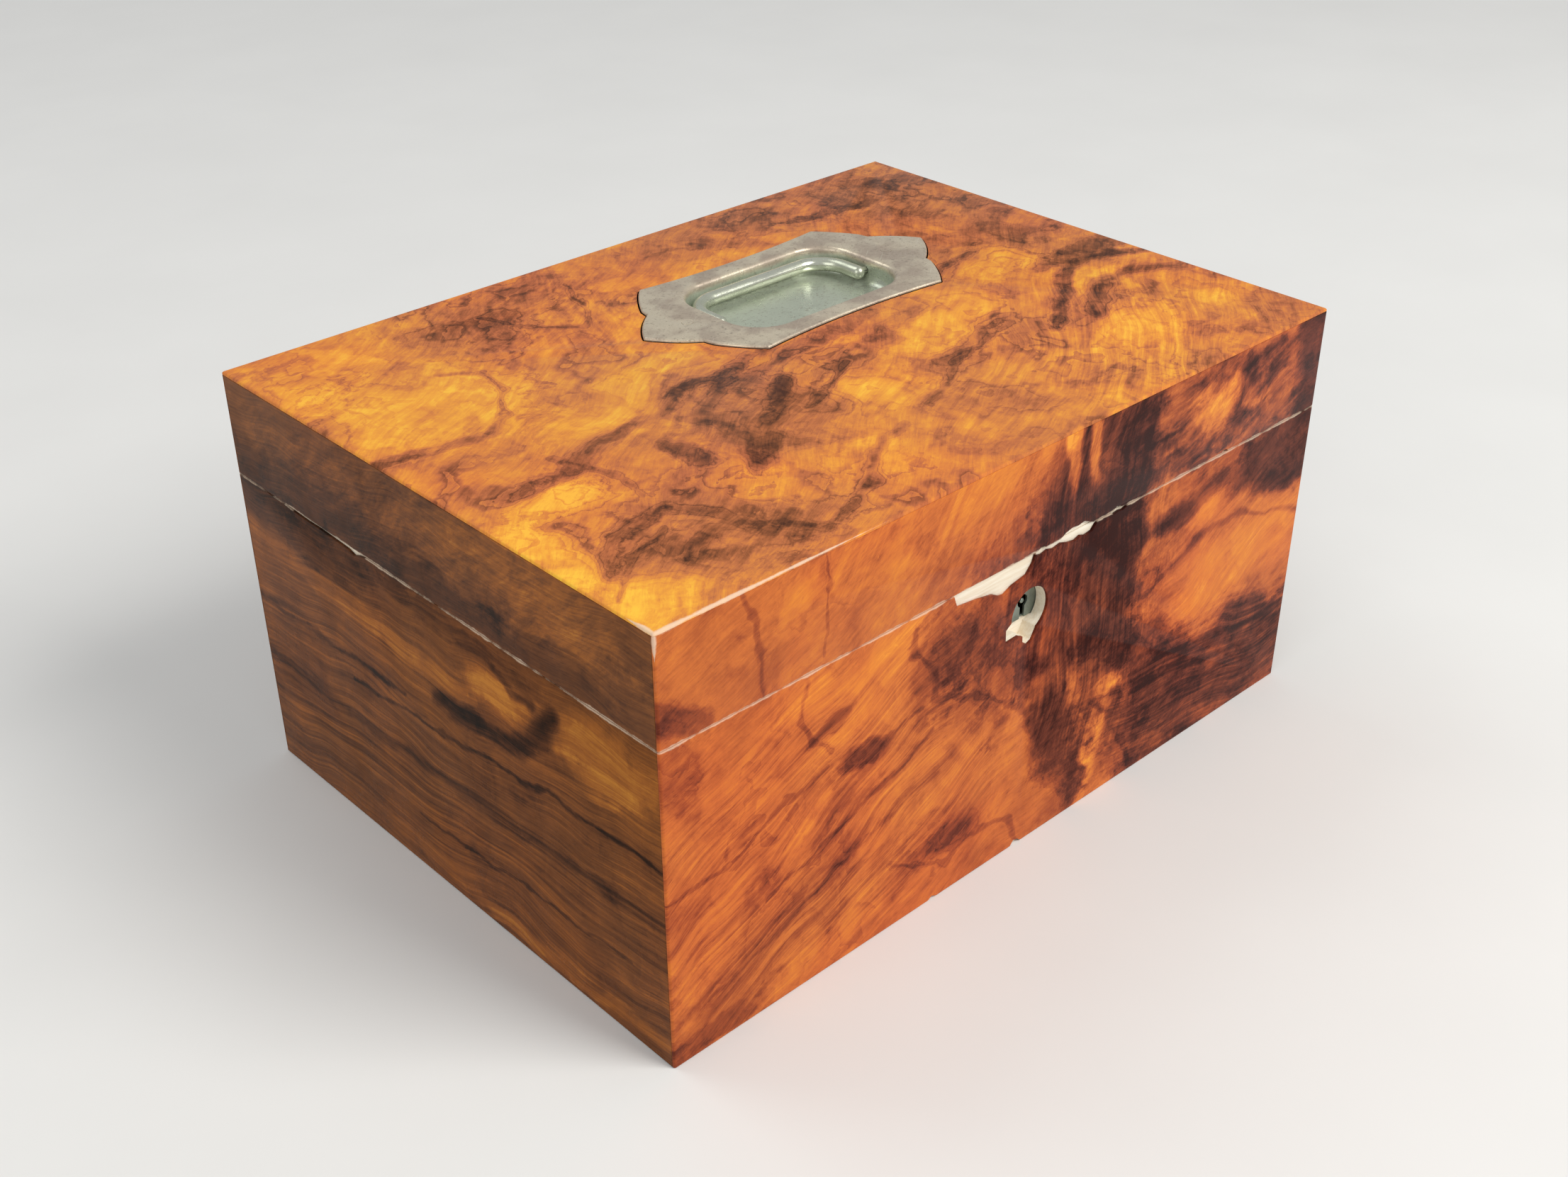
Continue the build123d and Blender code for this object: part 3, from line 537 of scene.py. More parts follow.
TOP_WALNUT = Walnut(
    Face.TOP,
    GOLDEN_WALNUT,
    tone=0.63,
    burr=0.50,
    rings=0.22,
    speckle=0.8,
    fibre_turn=34.0,
    grains=(
        Grain(34.0, 60.0, 4.0, 0.16),
        Grain(30.0, 16.0, 4.5, 0.22),
        Grain(62.0, 50.0, 4.0, 0.30, Patch(105, 180, 40, 50, 0, 1.0)),
        Grain(36.0, 70.0, 5.0, 0.26, Patch(235, 30, 90, 40, 20, 1.0)),
        Grain(38.0, 60.0, 1.5, 0.26, Patch(240, 40, 90, 50, 20, 1.0)),
    ),
    patches=(
        Patch(36, 152, 34, 34, 10, 0.24),
        Patch(24, 200, 46, 16, 40, 0.14),
        Patch(4, 48, 10, 24, 0, 0.34),
        Patch(25, 74, 19, 12, 5, 0.30),
        Patch(8, 12, 18, 13, 0, 0.30),
        Patch(82, 116, 46, 11, 18, 0.12),
        Patch(70, 42, 15, 13, 0, 0.14),
        Patch(106, 30, 16, 12, 0, 0.20),
        Patch(56, 78, 12, 12, 0, 0.10),
        Patch(152, 72, 34, 12, 25, 0.12),
        Patch(200, 84, 46, 12, 18, 0.12),
        Patch(248, 100, 20, 11, 10, 0.22),
        Patch(240, 32, 44, 14, 48, 0.16),
        Patch(280, 46, 26, 16, 20, 0.06),
        Patch(42, 34, 34, 30, 10, -0.14),
        Patch(102, 76, 32, 26, -30, -0.20),
        Patch(34, 86, 22, 5, 8, -0.40),
        Patch(82, 98, 46, 4, 10, -0.34),
        Patch(70, 70, 6, 12, 0, -0.42),
        Patch(68, 16, 18, 10, 0, -0.20),
        Patch(76, 172, 24, 11, 20, -0.22),
        Patch(10, 124, 40, 4, -4, -0.30),
        Patch(88, 196, 40, 22, 20, -0.14),
        Patch(170, 88, 34, 6, 14, -0.24),
        Patch(192, 66, 26, 5, 10, -0.30),
        Patch(284, 93, 42, 7, -4, -0.36),
        Patch(246, 187, 24, 5, -6, -0.34),
        Patch(225, 203, 90, 22, -4, -0.16),
        Patch(280, 156, 44, 60, 0, -0.20),
        Patch(150, 101, 44, 5, 8, -0.26),
        Patch(284, 12, 30, 16, 10, -0.12),
        Patch(268, 74, 30, 4, 10, 0.16),
    ),
    veins=(
        Vein(((221, 53), (234, 64), (247, 72), (257, 81), (270, 86), (288, 85), (304, 74)), 4.6, 0.60),
        Vein(((240, 52), (252, 61), (264, 68), (280, 67), (304, 56)), 6.0, 0.34),
        Vein(((118, 67), (132, 74), (150, 84)), 3.0, 0.40),
        Vein(((146, 43), (160, 49), (182, 61), (212, 67)), 2.8, 0.28),
        Vein(((218, 110), (234, 117), (252, 119)), 2.8, 0.36),
        Vein(((50, 166), (60, 158), (57, 144), (48, 128), (36, 121)), 2.4, 0.28),
        Vein(((10, 30), (24, 46), (44, 48), (52, 36), (56, 18)), 4.4, 0.34),
        Vein(((30, 22), (46, 30), (62, 20), (70, 8)), 3.6, 0.28),
        Vein(((84, 92), (91, 74), (88, 60), (78, 46)), 4.4, 0.26),
        Vein(((82, 48), (104, 68), (126, 88)), 5.0, 0.42),
        Vein(((94, 88), (110, 98), (130, 108)), 4.4, 0.28),
        Vein(((74, 8), (98, 20), (112, 32), (130, 38)), 3.6, 0.26),
        Vein(((40, 96), (47, 74), (44, 60)), 2.4, 0.20),
        Vein(((4, 18), (20, 34), (36, 40)), 2.0, 0.26),
        Vein(((84, 196), (94, 176), (108, 164), (118, 180), (124, 200)), 2.2, 0.26),
    ),
    seed=3.0,
)
FRONT_WALNUT = Walnut(
    Face.FRONT,
    RED_WALNUT,
    tone=0.67,
    burr=0.34,
    rings=0.10,
    speckle=0.35,
    fibre_turn=22.0,
    grains=(
        Grain(24.0, 90.0, 4.5, 0.40, Patch(60, 48, 84, 62, 10, 1.0)),
        Grain(26.0, 60.0, 1.5, 0.30, Patch(60, 60, 84, 62, 10, 1.0)),
        Grain(30.0, 20.0, 5.0, 0.14),
        Grain(80.0, 90.0, 5.0, 0.30, Patch(170, 100, 50, 90, 0, 1.0)),
        Grain(84.0, 40.0, 1.3, 0.26, Patch(180, 90, 50, 80, 0, 1.0)),
        Grain(-6.0, 44.0, 2.2, 0.46, Patch(246, 24, 78, 36, 0, 1.0)),
        Grain(58.0, 60.0, 3.0, 0.22, Patch(105, 136, 60, 26, 0, 1.0)),
        Grain(24.0, 50.0, 3.0, 0.24, Patch(262, 70, 60, 34, 0, 1.0)),
        Grain(20.0, 11.0, 5.0, 0.70, Patch(246, 132, 46, 26, 0, 1.0)),
    ),
    patches=(
        Patch(162, 90, 56, 36, 0, -0.50),
        Patch(192, 84, 17, 66, 0, -0.62),
        Patch(178, 124, 34, 34, 0, -0.62),
        Patch(196, 136, 13, 34, 0, -0.60),
        Patch(112, 93, 16, 20, 0, -0.20),
        Patch(164, 40, 13, 40, 24, -0.70),
        Patch(252, 20, 76, 30, -3, -0.76),
        Patch(216, 46, 30, 16, -30, -0.55),
        Patch(295, 130, 12, 44, 0, -0.80),
        Patch(285, 101, 34, 14, 2, -0.75),
        Patch(228, 99, 32, 5, 10, -0.40),
        Patch(246, 132, 52, 28, 0, -0.22),
        Patch(268, 140, 16, 9, 0, -0.30),
        Patch(232, 119, 40, 6, 0, -0.30),
        Patch(262, 66, 46, 17, 12, 0.14),
        Patch(240, 96, 12, 8, 0, 0.20),
        Patch(240, 136, 13, 8, 0, 0.34),
        Patch(152, 60, 18, 7, -14, 0.40),
        Patch(195, 43, 9, 5, -10, 0.56),
        Patch(188, 22, 8, 24, -20, 0.40),
        Patch(166, 142, 4, 20, 14, 0.70),
        Patch(177, 138, 3.5, 18, 14, 0.70),
        Patch(75, 75, 9, 4, -10, -0.46),
        Patch(63, 91, 10, 3, 16, -0.22),
        Patch(116, 22, 12, 8, -10, -0.24),
        Patch(6, 119, 18, 6, -10, -0.34),
        Patch(8, 4, 30, 6, 0, -0.34),
        Patch(4, 102, 11, 9, 0, -0.20),
        Patch(80, 98, 34, 20, 0, 0.10),
        Patch(90, 142, 60, 12, 6, 0.10),
        Patch(50, 30, 60, 26, 20, -0.08),
    ),
    veins=(
        Vein(((98, 107), (97, 99), (105, 91), (107, 80), (126, 72), (146, 58), (153, 48)), 2.0, 0.30),
        Vein(((123, 101), (120, 90), (126, 80)), 1.6, 0.22),
        Vein(((30, 152), (33, 140), (36, 128), (36, 114)), 1.2, 0.20),
        Vein(((59, 152), (61, 138), (60, 116)), 1.1, 0.16),
        Vein(((88, 26), (100, 20), (115, 12), (132, 17), (146, 13), (151, 2)), 1.6, 0.20),
        Vein(((206, 94), (228, 99), (252, 106)), 3.2, 0.34),
        Vein(((53, 110), (51, 98), (55, 89), (64, 82)), 1.3, 0.22),
        Vein(((64, 68), (70, 72), (80, 71), (88, 76), (102, 79)), 1.4, 0.26),
        Vein(((38, 42), (60, 50), (82, 58), (106, 68)), 1.8, 0.28),
        Vein(((0, 60), (24, 64), (46, 73), (62, 78)), 1.5, 0.22),
        Vein(((14, 18), (44, 28), (78, 42), (110, 52)), 1.5, 0.16),
        Vein(((186, 42), (197, 30), (204, 16), (209, 2)), 2.0, 0.40),
        Vein(((166, 104), (168, 84), (172, 66), (170, 50)), 1.8, 0.30),
        Vein(((206, 60), (222, 44), (250, 36), (296, 34)), 2.6, 0.40),
        Vein(((214, 74), (236, 84), (262, 84), (300, 72)), 2.0, 0.20),
    ),
    seed=17.0,
)
LEFT_WALNUT = Walnut(
    Face.LEFT,
    BROWN_WALNUT,
    tone=0.60,
    burr=0.20,
    rings=0.05,
    speckle=0.3,
    fibre_turn=2.0,
    grains=(
        Grain(2.5, 150.0, 1.6, 0.34, Patch(108, 46, 190, 62, 0, 1.0)),
        Grain(2.0, 190.0, 5.0, 0.30, Patch(108, 50, 190, 66, 0, 1.0)),
        Grain(3.0, 70.0, 0.8, 0.20),
        Grain(35.0, 12.0, 5.0, 0.40, Patch(120, 136, 130, 18, 0, 1.0)),
    ),
    patches=(
        Patch(50, 120, 90, 14, 0, -0.22),
        Patch(120, 118, 120, 7, 0, -0.16),
        Patch(24, 106, 70, 10, -3, -0.26),
        Patch(110, 107, 66, 4, 0, -0.20),
        Patch(70, 88, 80, 5, -3, 0.14),
        Patch(142, 94, 20, 7, 6, 0.36),
        Patch(195, 97, 30, 13, 0, 0.26),
        Patch(186, 8, 80, 4, 3, 0.20),
        Patch(160, 140, 40, 12, 0, 0.12),
    ),
    veins=(
        Vein(((112, 76), (132, 79), (152, 82), (163, 90), (169, 101)), 5.5, 0.75),
        Vein(((142, 104), (150, 99), (160, 100)), 3.0, 0.40),
        Vein(((60, 60), (110, 64), (160, 70), (219, 73)), 1.4, 0.40),
        Vein(((-4, 66), (40, 68), (90, 70)), 1.8, 0.36),
        Vein(((-4, 44), (70, 44), (150, 48), (219, 52)), 4.0, 0.26),
        Vein(((90, 22), (150, 26), (200, 30)), 1.2, 0.34),
    ),
    blush=0.20,
    seed=31.0,
)
RIGHT_WALNUT = Walnut(
    Face.RIGHT,
    BROWN_WALNUT,
    tone=0.62,
    burr=0.22,
    rings=0.05,
    speckle=0.3,
    fibre_turn=-2.0,
    grains=(Grain(-2.0, 170.0, 4.0, 0.26), Grain(-2.5, 120.0, 1.5, 0.26), Grain(30.0, 14.0, 6.0, 0.16)),
    patches=(
        Patch(60, 96, 40, 12, 0, 0.22),
        Patch(150, 60, 60, 14, 5, -0.16),
        Patch(60, 122, 90, 12, 0, -0.22),
    ),
    veins=(
        Vein(((40, 74), (70, 80), (98, 78), (112, 70)), 5.0, 0.60),
        Vein(((-4, 52), (80, 50), (160, 44), (219, 46)), 2.4, 0.34),
        Vein(((20, 30), (110, 26), (180, 18)), 1.4, 0.30),
    ),
    blush=0.20,
    seed=47.0,
)
BACK_WALNUT = Walnut(
    Face.BACK,
    BROWN_WALNUT,
    tone=0.62,
    burr=0.26,
    rings=0.06,
    speckle=0.3,
    fibre_turn=2.0,
    grains=(Grain(2.0, 180.0, 4.0, 0.26), Grain(2.5, 120.0, 1.5, 0.26), Grain(30.0, 14.0, 6.0, 0.16)),
    patches=(
        Patch(90, 60, 70, 20, 4, 0.14),
        Patch(220, 90, 60, 20, -6, -0.18),
        Patch(150, 130, 120, 14, 0, -0.12),
    ),
    veins=(
        Vein(((30, 96), (80, 88), (130, 92), (190, 80)), 3.0, 0.44),
        Vein(((110, 40), (180, 34), (250, 42), (304, 38)), 2.0, 0.32),
        Vein(((-4, 24), (60, 28), (120, 22)), 1.6, 0.28),
    ),
    blush=0.20,
    seed=59.0,
)


@dataclass(frozen=True)
class Board:
    """Plain sawn wood: the carcass under the veneer, or the tray."""

    name: str
    pale: RGB
    dark: RGB
    turn: tuple[float, float, float]
    rough: float = 0.7
    stained: bool = False
    seam: float = 113.15
    inner_side: tuple[float, float] = (139.7, 139.3)
    inner_front: tuple[float, float] = (98.2, 97.8)
    rim_side: tuple[float, float] = (148.4, 147.6)
    rim_front: tuple[float, float] = (107.0, 106.2)
    rim_depth: tuple[float, float] = (0.8, 0.5)

    def stain(self, bench: Bench) -> Value:
        """Where the carcass is stained dark: inside the box, and on the rims that meet at the seam."""
        x, y, z = bench.split(bench.place())
        inside = bench.rise(abs(x), *self.inner_side) * bench.rise(abs(y), *self.inner_front)
        rim = bench.rise(abs(z - self.seam), *self.rim_depth)
        rim = rim * bench.rise(abs(x), *self.rim_side) * bench.rise(abs(y), *self.rim_front)
        return inside.most(rim)

    def make(self) -> bpy.types.Material:
        """Builds the material."""
        bench = Bench(self.name)
        point = bench.drift(bench.place(), 0.02, 4.0)
        drawn = bench.vector("MULTIPLY", point, self.turn)
        streak = bench.noise(drawn, 0.9, 6.0, 0.65, 0.4)
        blotch = bench.noise(point, 0.03, 3.0, 0.5)
        tone = bench.rise(streak * 0.7 + blotch * 0.3, 0.3, 0.7)
        colour = bench.blend(tone, linear(*self.dark), linear(*self.pale))
        if self.stained:
            dyed = bench.blend(tone, linear(0.24, 0.11, 0.06), linear(0.40, 0.21, 0.11))
            colour = bench.blend(self.stain(bench), colour, dyed)
        return bench.shade(
            {
                "Base Color": colour,
                "Roughness": bench.rise(streak, 0.2, 0.8, self.rough - 0.08, self.rough + 0.08),
                "Normal": bench.bump(streak, 0.12, 0.5),
            }
        )


@dataclass(frozen=True)
class Metal:
    """Worn metal with tarnish in patches and fine scratches."""

    name: str
    clean: RGB
    tarnish: RGB
    spots: RGB
    rough: float
    metallic: float = 0.85
    dents: float = 0.3

    def make(self) -> bpy.types.Material:
        """Builds the material."""
        bench = Bench(self.name)
        point = bench.place()
        cloud = bench.noise(bench.drift(point, 0.06, 8.0), 0.07, 6.0, 0.6)
        fleck = bench.noise(point, 0.9, 4.0, 0.7)
        scratch = bench.noise(bench.local(point, (0, 0, 0), 24.0, (12.0, 0.3, 1.0)), 1.0, 3.0, 0.7)
        colour = bench.blend(bench.rise(cloud, 0.36, 0.66), linear(*self.clean), linear(*self.tarnish))
        colour = bench.blend(bench.rise(fleck, 0.58, 0.72, 0.0, 0.55), colour, linear(*self.spots))
        colour = bench.blend(bench.rise(scratch, 0.64, 0.74, 0.0, 0.3), colour, linear(*self.clean))
        rough = bench.rise(cloud + (fleck - 0.5) * 0.4, 0.3, 0.75, self.rough - 0.08, self.rough + 0.16)
        return bench.shade(
            {
                "Base Color": colour,
                "Metallic": bench.rise(cloud, 0.3, 0.8, self.metallic, self.metallic - 0.25),
                "Roughness": rough,
                "Normal": bench.bump(cloud * 0.8 + fleck * 0.12 + scratch * 0.1, self.dents, 0.5),
            }
        )


@dataclass(frozen=True)
class PressedBrass(Metal):
    """Brass of the flush handle: grey-green in its sunk pan, rubbed paler along fine scratches."""

    sunk: RGB = (0.74, 0.77, 0.70)
    rubbed: RGB = (0.95, 0.94, 0.86)

    def make(self) -> bpy.types.Material:
        """Builds the material."""
        bench = Bench(self.name)
        point = bench.place()
        _, _, z = bench.split(point)
        cloud = bench.noise(bench.drift(point, 0.06, 8.0), 0.06, 6.0, 0.6)
        fleck = bench.noise(point, 0.8, 5.0, 0.7)
        scratch = bench.noise(bench.local(point, (0, 0, 0), 38.0, (14.0, 0.35, 1.0)), 1.0, 3.0, 0.7)
        across = bench.noise(bench.local(point, (0, 0, 0), -52.0, (10.0, 0.3, 1.0)), 1.0, 3.0, 0.7)
        colour = bench.blend(bench.rise(cloud, 0.38, 0.62), linear(*self.clean), linear(*self.tarnish))
        colour = bench.blend(bench.rise(z + cloud * 2.0, 150.6, 148.6), colour, linear(*self.sunk))
        colour = bench.blend(bench.rise(fleck, 0.52, 0.70, 0.0, 0.6), colour, linear(*self.spots))
        marks = bench.rise(scratch, 0.60, 0.72).most(bench.rise(across, 0.62, 0.74))
        colour = bench.blend(marks * 0.5, colour, linear(*self.rubbed))
        rough = bench.rise(cloud + (fleck - 0.5) * 0.5, 0.3, 0.75, self.rough - 0.06, self.rough + 0.14)
        return bench.shade(
            {
                "Base Color": colour,
                "Metallic": bench.rise(cloud + fleck * 0.3, 0.4, 0.9, self.metallic, self.metallic - 0.2),
                "Roughness": rough,
                "Normal": bench.bump(cloud * 0.8 + fleck * 0.16 + marks * 0.1, 0.35, 0.5),
            }
        )


@dataclass(frozen=True)
class Silk:
    """Ruched or woven silk with fine ribs and a soft sheen."""

    name: str
    light: RGB
    deep: RGB
    rib: tuple[float, float, float]
    bump_mm: float = 0.12

    def make(self) -> bpy.types.Material:
        """Builds the material."""
        bench = Bench(self.name)
        point = bench.place()
        weave = bench.vector("MULTIPLY", bench.drift(point, 0.08, 2.2, 3.0), self.rib)
        rib = bench.noise(weave, 1.0, 4.0, 0.6)
        stain = bench.noise(point, 0.022, 4.0, 0.55)
        tone = bench.rise(rib * 0.5 + stain * 0.5, 0.32, 0.68)
        return bench.shade(
            {
                "Base Color": bench.blend(tone, linear(*self.deep), linear(*self.light)),
                "Roughness": bench.rise(rib, 0.3, 0.7, 0.36, 0.52),
                "Sheen Weight": 0.5,
                "Sheen Roughness": 0.4,
                "Normal": bench.bump(rib, self.bump_mm, 0.8),
            }
        )


@dataclass(frozen=True)
class Velvet:
    """Short pile, with painted darker patches standing for its sheen where the pile lies the other way."""

    name: str
    light: RGB
    deep: RGB

    def make(self) -> bpy.types.Material:
        """Builds the material."""
        bench = Bench(self.name)
        point = bench.place()
        pile_sheen_patches = bench.noise(bench.drift(point, 0.05, 10.0), 0.06, 4.0, 0.55)
        pile = bench.noise(point, 2.2, 3.0, 0.7)
        # painted sheen: these patches darken the colour where the pile would catch less light
        tone = bench.rise(pile_sheen_patches * 0.75 + pile * 0.25, 0.36, 0.64)
        return bench.shade(
            {
                "Base Color": bench.blend(tone, linear(*self.deep), linear(*self.light)),
                "Roughness": 0.85,
                "Specular IOR Level": 0.15,
                "Sheen Weight": 0.7,
                "Sheen Roughness": 0.35,
                "Sheen Tint": linear(0.86, 0.46, 0.50),
                "Normal": bench.bump(pile, 0.25, 0.7),
            }
        )


@dataclass(frozen=True)
class MarbledPaper:
    """Combed marbled paper, faded, as glued inside old boxes."""

    name: str
    ground: RGB
    vein: RGB
    drop: RGB

    def make(self) -> bpy.types.Material:
        """Builds the material."""
        bench = Bench(self.name)
        point = bench.place()
        combed = bench.drift(bench.drift(point, 0.05, 16.0, 2.0), 0.16, 5.0, 2.0)
        drops = bench.cells(combed, 0.12)
        veins = abs(bench.noise(combed, 0.075, 3.0, 0.5) - 0.5)
        colour = bench.blend(bench.rise(drops, 0.16, 0.34), linear(*self.drop), linear(*self.ground))
        colour = bench.blend(bench.rise(veins, 0.006, 0.035, 0.85, 0.0), colour, linear(*self.vein))
        age = bench.noise(point, 0.012, 5.0, 0.6)
        colour = bench.blend(bench.rise(age, 0.45, 0.75, 0.0, 0.45), colour, linear(0.70, 0.62, 0.47))
        grit = bench.noise(point, 1.6, 3.0, 0.7)
        return bench.shade(
            {
                "Base Color": colour,
                "Roughness": bench.rise(grit, 0.2, 0.8, 0.72, 0.86),
                "Normal": bench.bump(grit, 0.05, 0.6),
            }
        )


class Finishes:
    """Every finish in the scene, made once."""

    def __init__(self) -> None:
        """Builds the materials."""
        figures = (TOP_WALNUT, FRONT_WALNUT, LEFT_WALNUT, RIGHT_WALNUT, BACK_WALNUT)
        self.walnut = {figure.face: figure.make() for figure in figures}
        along = (0.05, 1.0, 1.0)
        self.pine = Board("pine", (0.97, 0.94, 0.87), (0.90, 0.83, 0.72), along, stained=True).make()
        self.mahogany = Board("mahogany", (0.48, 0.25, 0.13), (0.28, 0.13, 0.07), along, 0.4).make()
        self.plate = PressedBrass(
            "pressed_brass", (0.89, 0.84, 0.74), (0.71, 0.65, 0.58), (0.46, 0.41, 0.35), 0.32, 0.60
        ).make()
        self.bail = Metal(
            "bail_brass", (0.92, 0.93, 0.86), (0.76, 0.78, 0.70), (0.44, 0.44, 0.38), 0.22, 0.9, 0.06
        ).make()
        # painted shadow: near-black finish of the ring round the handle plate, gap shade together with old
        # dirt
        self.wax = Board("old_wax", (0.20, 0.12, 0.08), (0.06, 0.04, 0.03), (1.0, 1.0, 1.0), 0.8).make()
        self.brass = Metal(
            "hinge_brass", (0.72, 0.60, 0.36), (0.52, 0.40, 0.23), (0.30, 0.23, 0.13), 0.34
        ).make()
        self.steel = Metal(
            "lock_steel", (0.60, 0.64, 0.60), (0.42, 0.46, 0.43), (0.26, 0.22, 0.17), 0.40
        ).make()
        self.silk = Silk("lid_silk", (0.62, 0.20, 0.22), (0.42, 0.10, 0.13), (0.9, 0.06, 1.0)).make()
        self.ribbon = Silk(
            "ribbon_silk", (0.60, 0.18, 0.20), (0.44, 0.11, 0.14), (1.0, 3.0, 0.12), 0.06
        ).make()
        self.velvet = Velvet("cushion_velvet", (0.50, 0.12, 0.15), (0.30, 0.05, 0.08)).make()
        self.paper = MarbledPaper(
            "marbled_paper", (0.62, 0.66, 0.70), (0.25, 0.31, 0.42), (0.78, 0.70, 0.60)
        ).make()


class Bevels:
    """Edge softening in millimetres, by kind of piece."""

    VENEER = 0.22
    BOARD = 0.45
    TRAY = 0.5
    METAL = 0.18


class Shop:
    """Makes and trims meshes with Blender's own tools."""

    @staticmethod
    def pick(piece: bpy.types.Object) -> None:
        """Selects one piece alone."""
        bpy.ops.object.select_all(action="DESELECT")
        piece.select_set(True)
        bpy.context.view_layer.objects.active = piece

    @staticmethod
    def modify(piece: bpy.types.Object, kind: str, settings: dict) -> None:
        """Adds one modifier and applies it.

        Args:
            piece: The piece to change.
            kind: The modifier's type.
            settings: Its properties.
        """
        Shop.pick(piece)
        modifier = piece.modifiers.new(kind.lower(), kind)
        for key, value in settings.items():
            setattr(modifier, key, value)
        bpy.ops.object.modifier_apply(modifier=modifier.name)

    @staticmethod
    def merged(node: str, name: str) -> bpy.types.Object:
        """Copies a CAD node's mesh, with its loose triangles joined into flat faces.

        Args:
            node: The CAD node.
            name: The copy's name.

        Returns:
            The copy, in the node's own place.
        """
        piece = bpy.data.objects.new(name, frame["nodes"][node].data.copy())
        bpy.context.scene.collection.objects.link(piece)
        Shop.pick(piece)
        bpy.ops.object.mode_set(mode="EDIT")
        bpy.ops.mesh.select_all(action="SELECT")
        bpy.ops.mesh.remove_doubles(threshold=0.01 * MM)
        bpy.ops.mesh.dissolve_limited(angle_limit=math.radians(0.5))
        bpy.ops.object.mode_set(mode="OBJECT")
        return piece

    @staticmethod
    def beside(piece: bpy.types.Object, node: str, finish: bpy.types.Material) -> None:
        """Finishes a piece that goes with a CAD node and doesn't replace it.

        Args:
            piece: The piece.
            node: The node that it goes with.
            finish: Its material.
        """
        piece.data.materials.clear()
        piece.data.materials.append(finish)
        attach(piece, PARTS[node].body)

    @staticmethod
    def cut_away(piece: bpy.types.Object, unwanted: Callable[[bpy.types.MeshPolygon], bool]) -> None:
        """Deletes the faces that are not wanted.

        Args:
            piece: The piece to cut.
            unwanted: Says of a face whether it goes.
        """
        Shop.pick(piece)
        bpy.ops.object.mode_set(mode="EDIT")
        bpy.ops.mesh.select_mode(type="FACE")
        bpy.ops.mesh.select_all(action="DESELECT")
        bpy.ops.object.mode_set(mode="OBJECT")
        for face in piece.data.polygons:
            face.select = unwanted(face)
        bpy.ops.object.mode_set(mode="EDIT")
        bpy.ops.mesh.delete(type="FACE")
        bpy.ops.object.mode_set(mode="OBJECT")

    @staticmethod
    def soften(piece: bpy.types.Object, width_mm: float, segments: int = 2) -> None:
        """Rounds the sharp edges a little."""
        Shop.modify(
            piece,
            "BEVEL",
            {
                "width": width_mm * MM,
                "segments": segments,
                "limit_method": "ANGLE",
                "angle_limit": math.radians(35.0),
            },
        )

    @staticmethod
    def settle(piece: bpy.types.Object, turn: float = 24.0) -> None:
        """Puts a piece's place into its mesh, turns its faces outwards and shades it."""
        Shop.pick(piece)
        bpy.ops.object.transform_apply(location=True, rotation=True, scale=True)
        bpy.ops.object.mode_set(mode="EDIT")
        bpy.ops.mesh.select_all(action="SELECT")
        bpy.ops.mesh.normals_make_consistent(inside=False)
        bpy.ops.object.mode_set(mode="OBJECT")
        bpy.ops.object.shade_smooth_by_angle(angle=math.radians(turn))

    @staticmethod
    def joined(name: str, pieces: list[bpy.types.Object]) -> bpy.types.Object:
        """Joins pieces into one.

        Args:
            name: The joined piece's name.
            pieces: What it is made of.

        Returns:
            The joined piece.
        """
        bpy.ops.object.select_all(action="DESELECT")
        for piece in pieces:
            piece.select_set(True)
        bpy.context.view_layer.objects.active = pieces[0]
        bpy.ops.object.transform_apply(location=True, rotation=True, scale=True)
        bpy.ops.object.join()
        piece = bpy.context.active_object
        piece.name = name
        return piece

    @staticmethod
    def fit(piece: bpy.types.Object, node: str, finish: bpy.types.Material, *others: str) -> bpy.types.Object:
        """Finishes a piece and lets it stand for its CAD nodes.

        Args:
            piece: The piece.
            node: The CAD node that it stands for, whose body it takes.
            finish: Its material.
            others: More CAD nodes that it stands for.

        Returns:
            The piece.
        """
        piece.data.materials.clear()
        piece.data.materials.append(finish)
        part = PARTS[node]
        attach(piece, part.body)
        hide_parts(node, *others)
        log.info("%s stands for %s", piece.name, ", ".join((node, *others)))
        return piece

    @staticmethod
    def refined(node: str, finish: bpy.types.Material, bevel_mm: float) -> bpy.types.Object:
        """A CAD node with softened edges, in its finish."""
        piece = Shop.merged(node, f"dressed_{node}")
        if bevel_mm:
            Shop.soften(piece, bevel_mm)
        Shop.pick(piece)
        bpy.ops.object.shade_smooth_by_angle(angle=math.radians(24.0))
        return Shop.fit(piece, node, finish)


@dataclass(frozen=True)
class Part:
    """What the frame says of a CAD node."""

    body: str
    slot: str


PARTS = {
    entry["node"]: Part(frame["nodes"][entry["node"]].parent.name.split(":")[-1], entry["material_slot"])
    for entry in frame["record"]["subparts"]
}


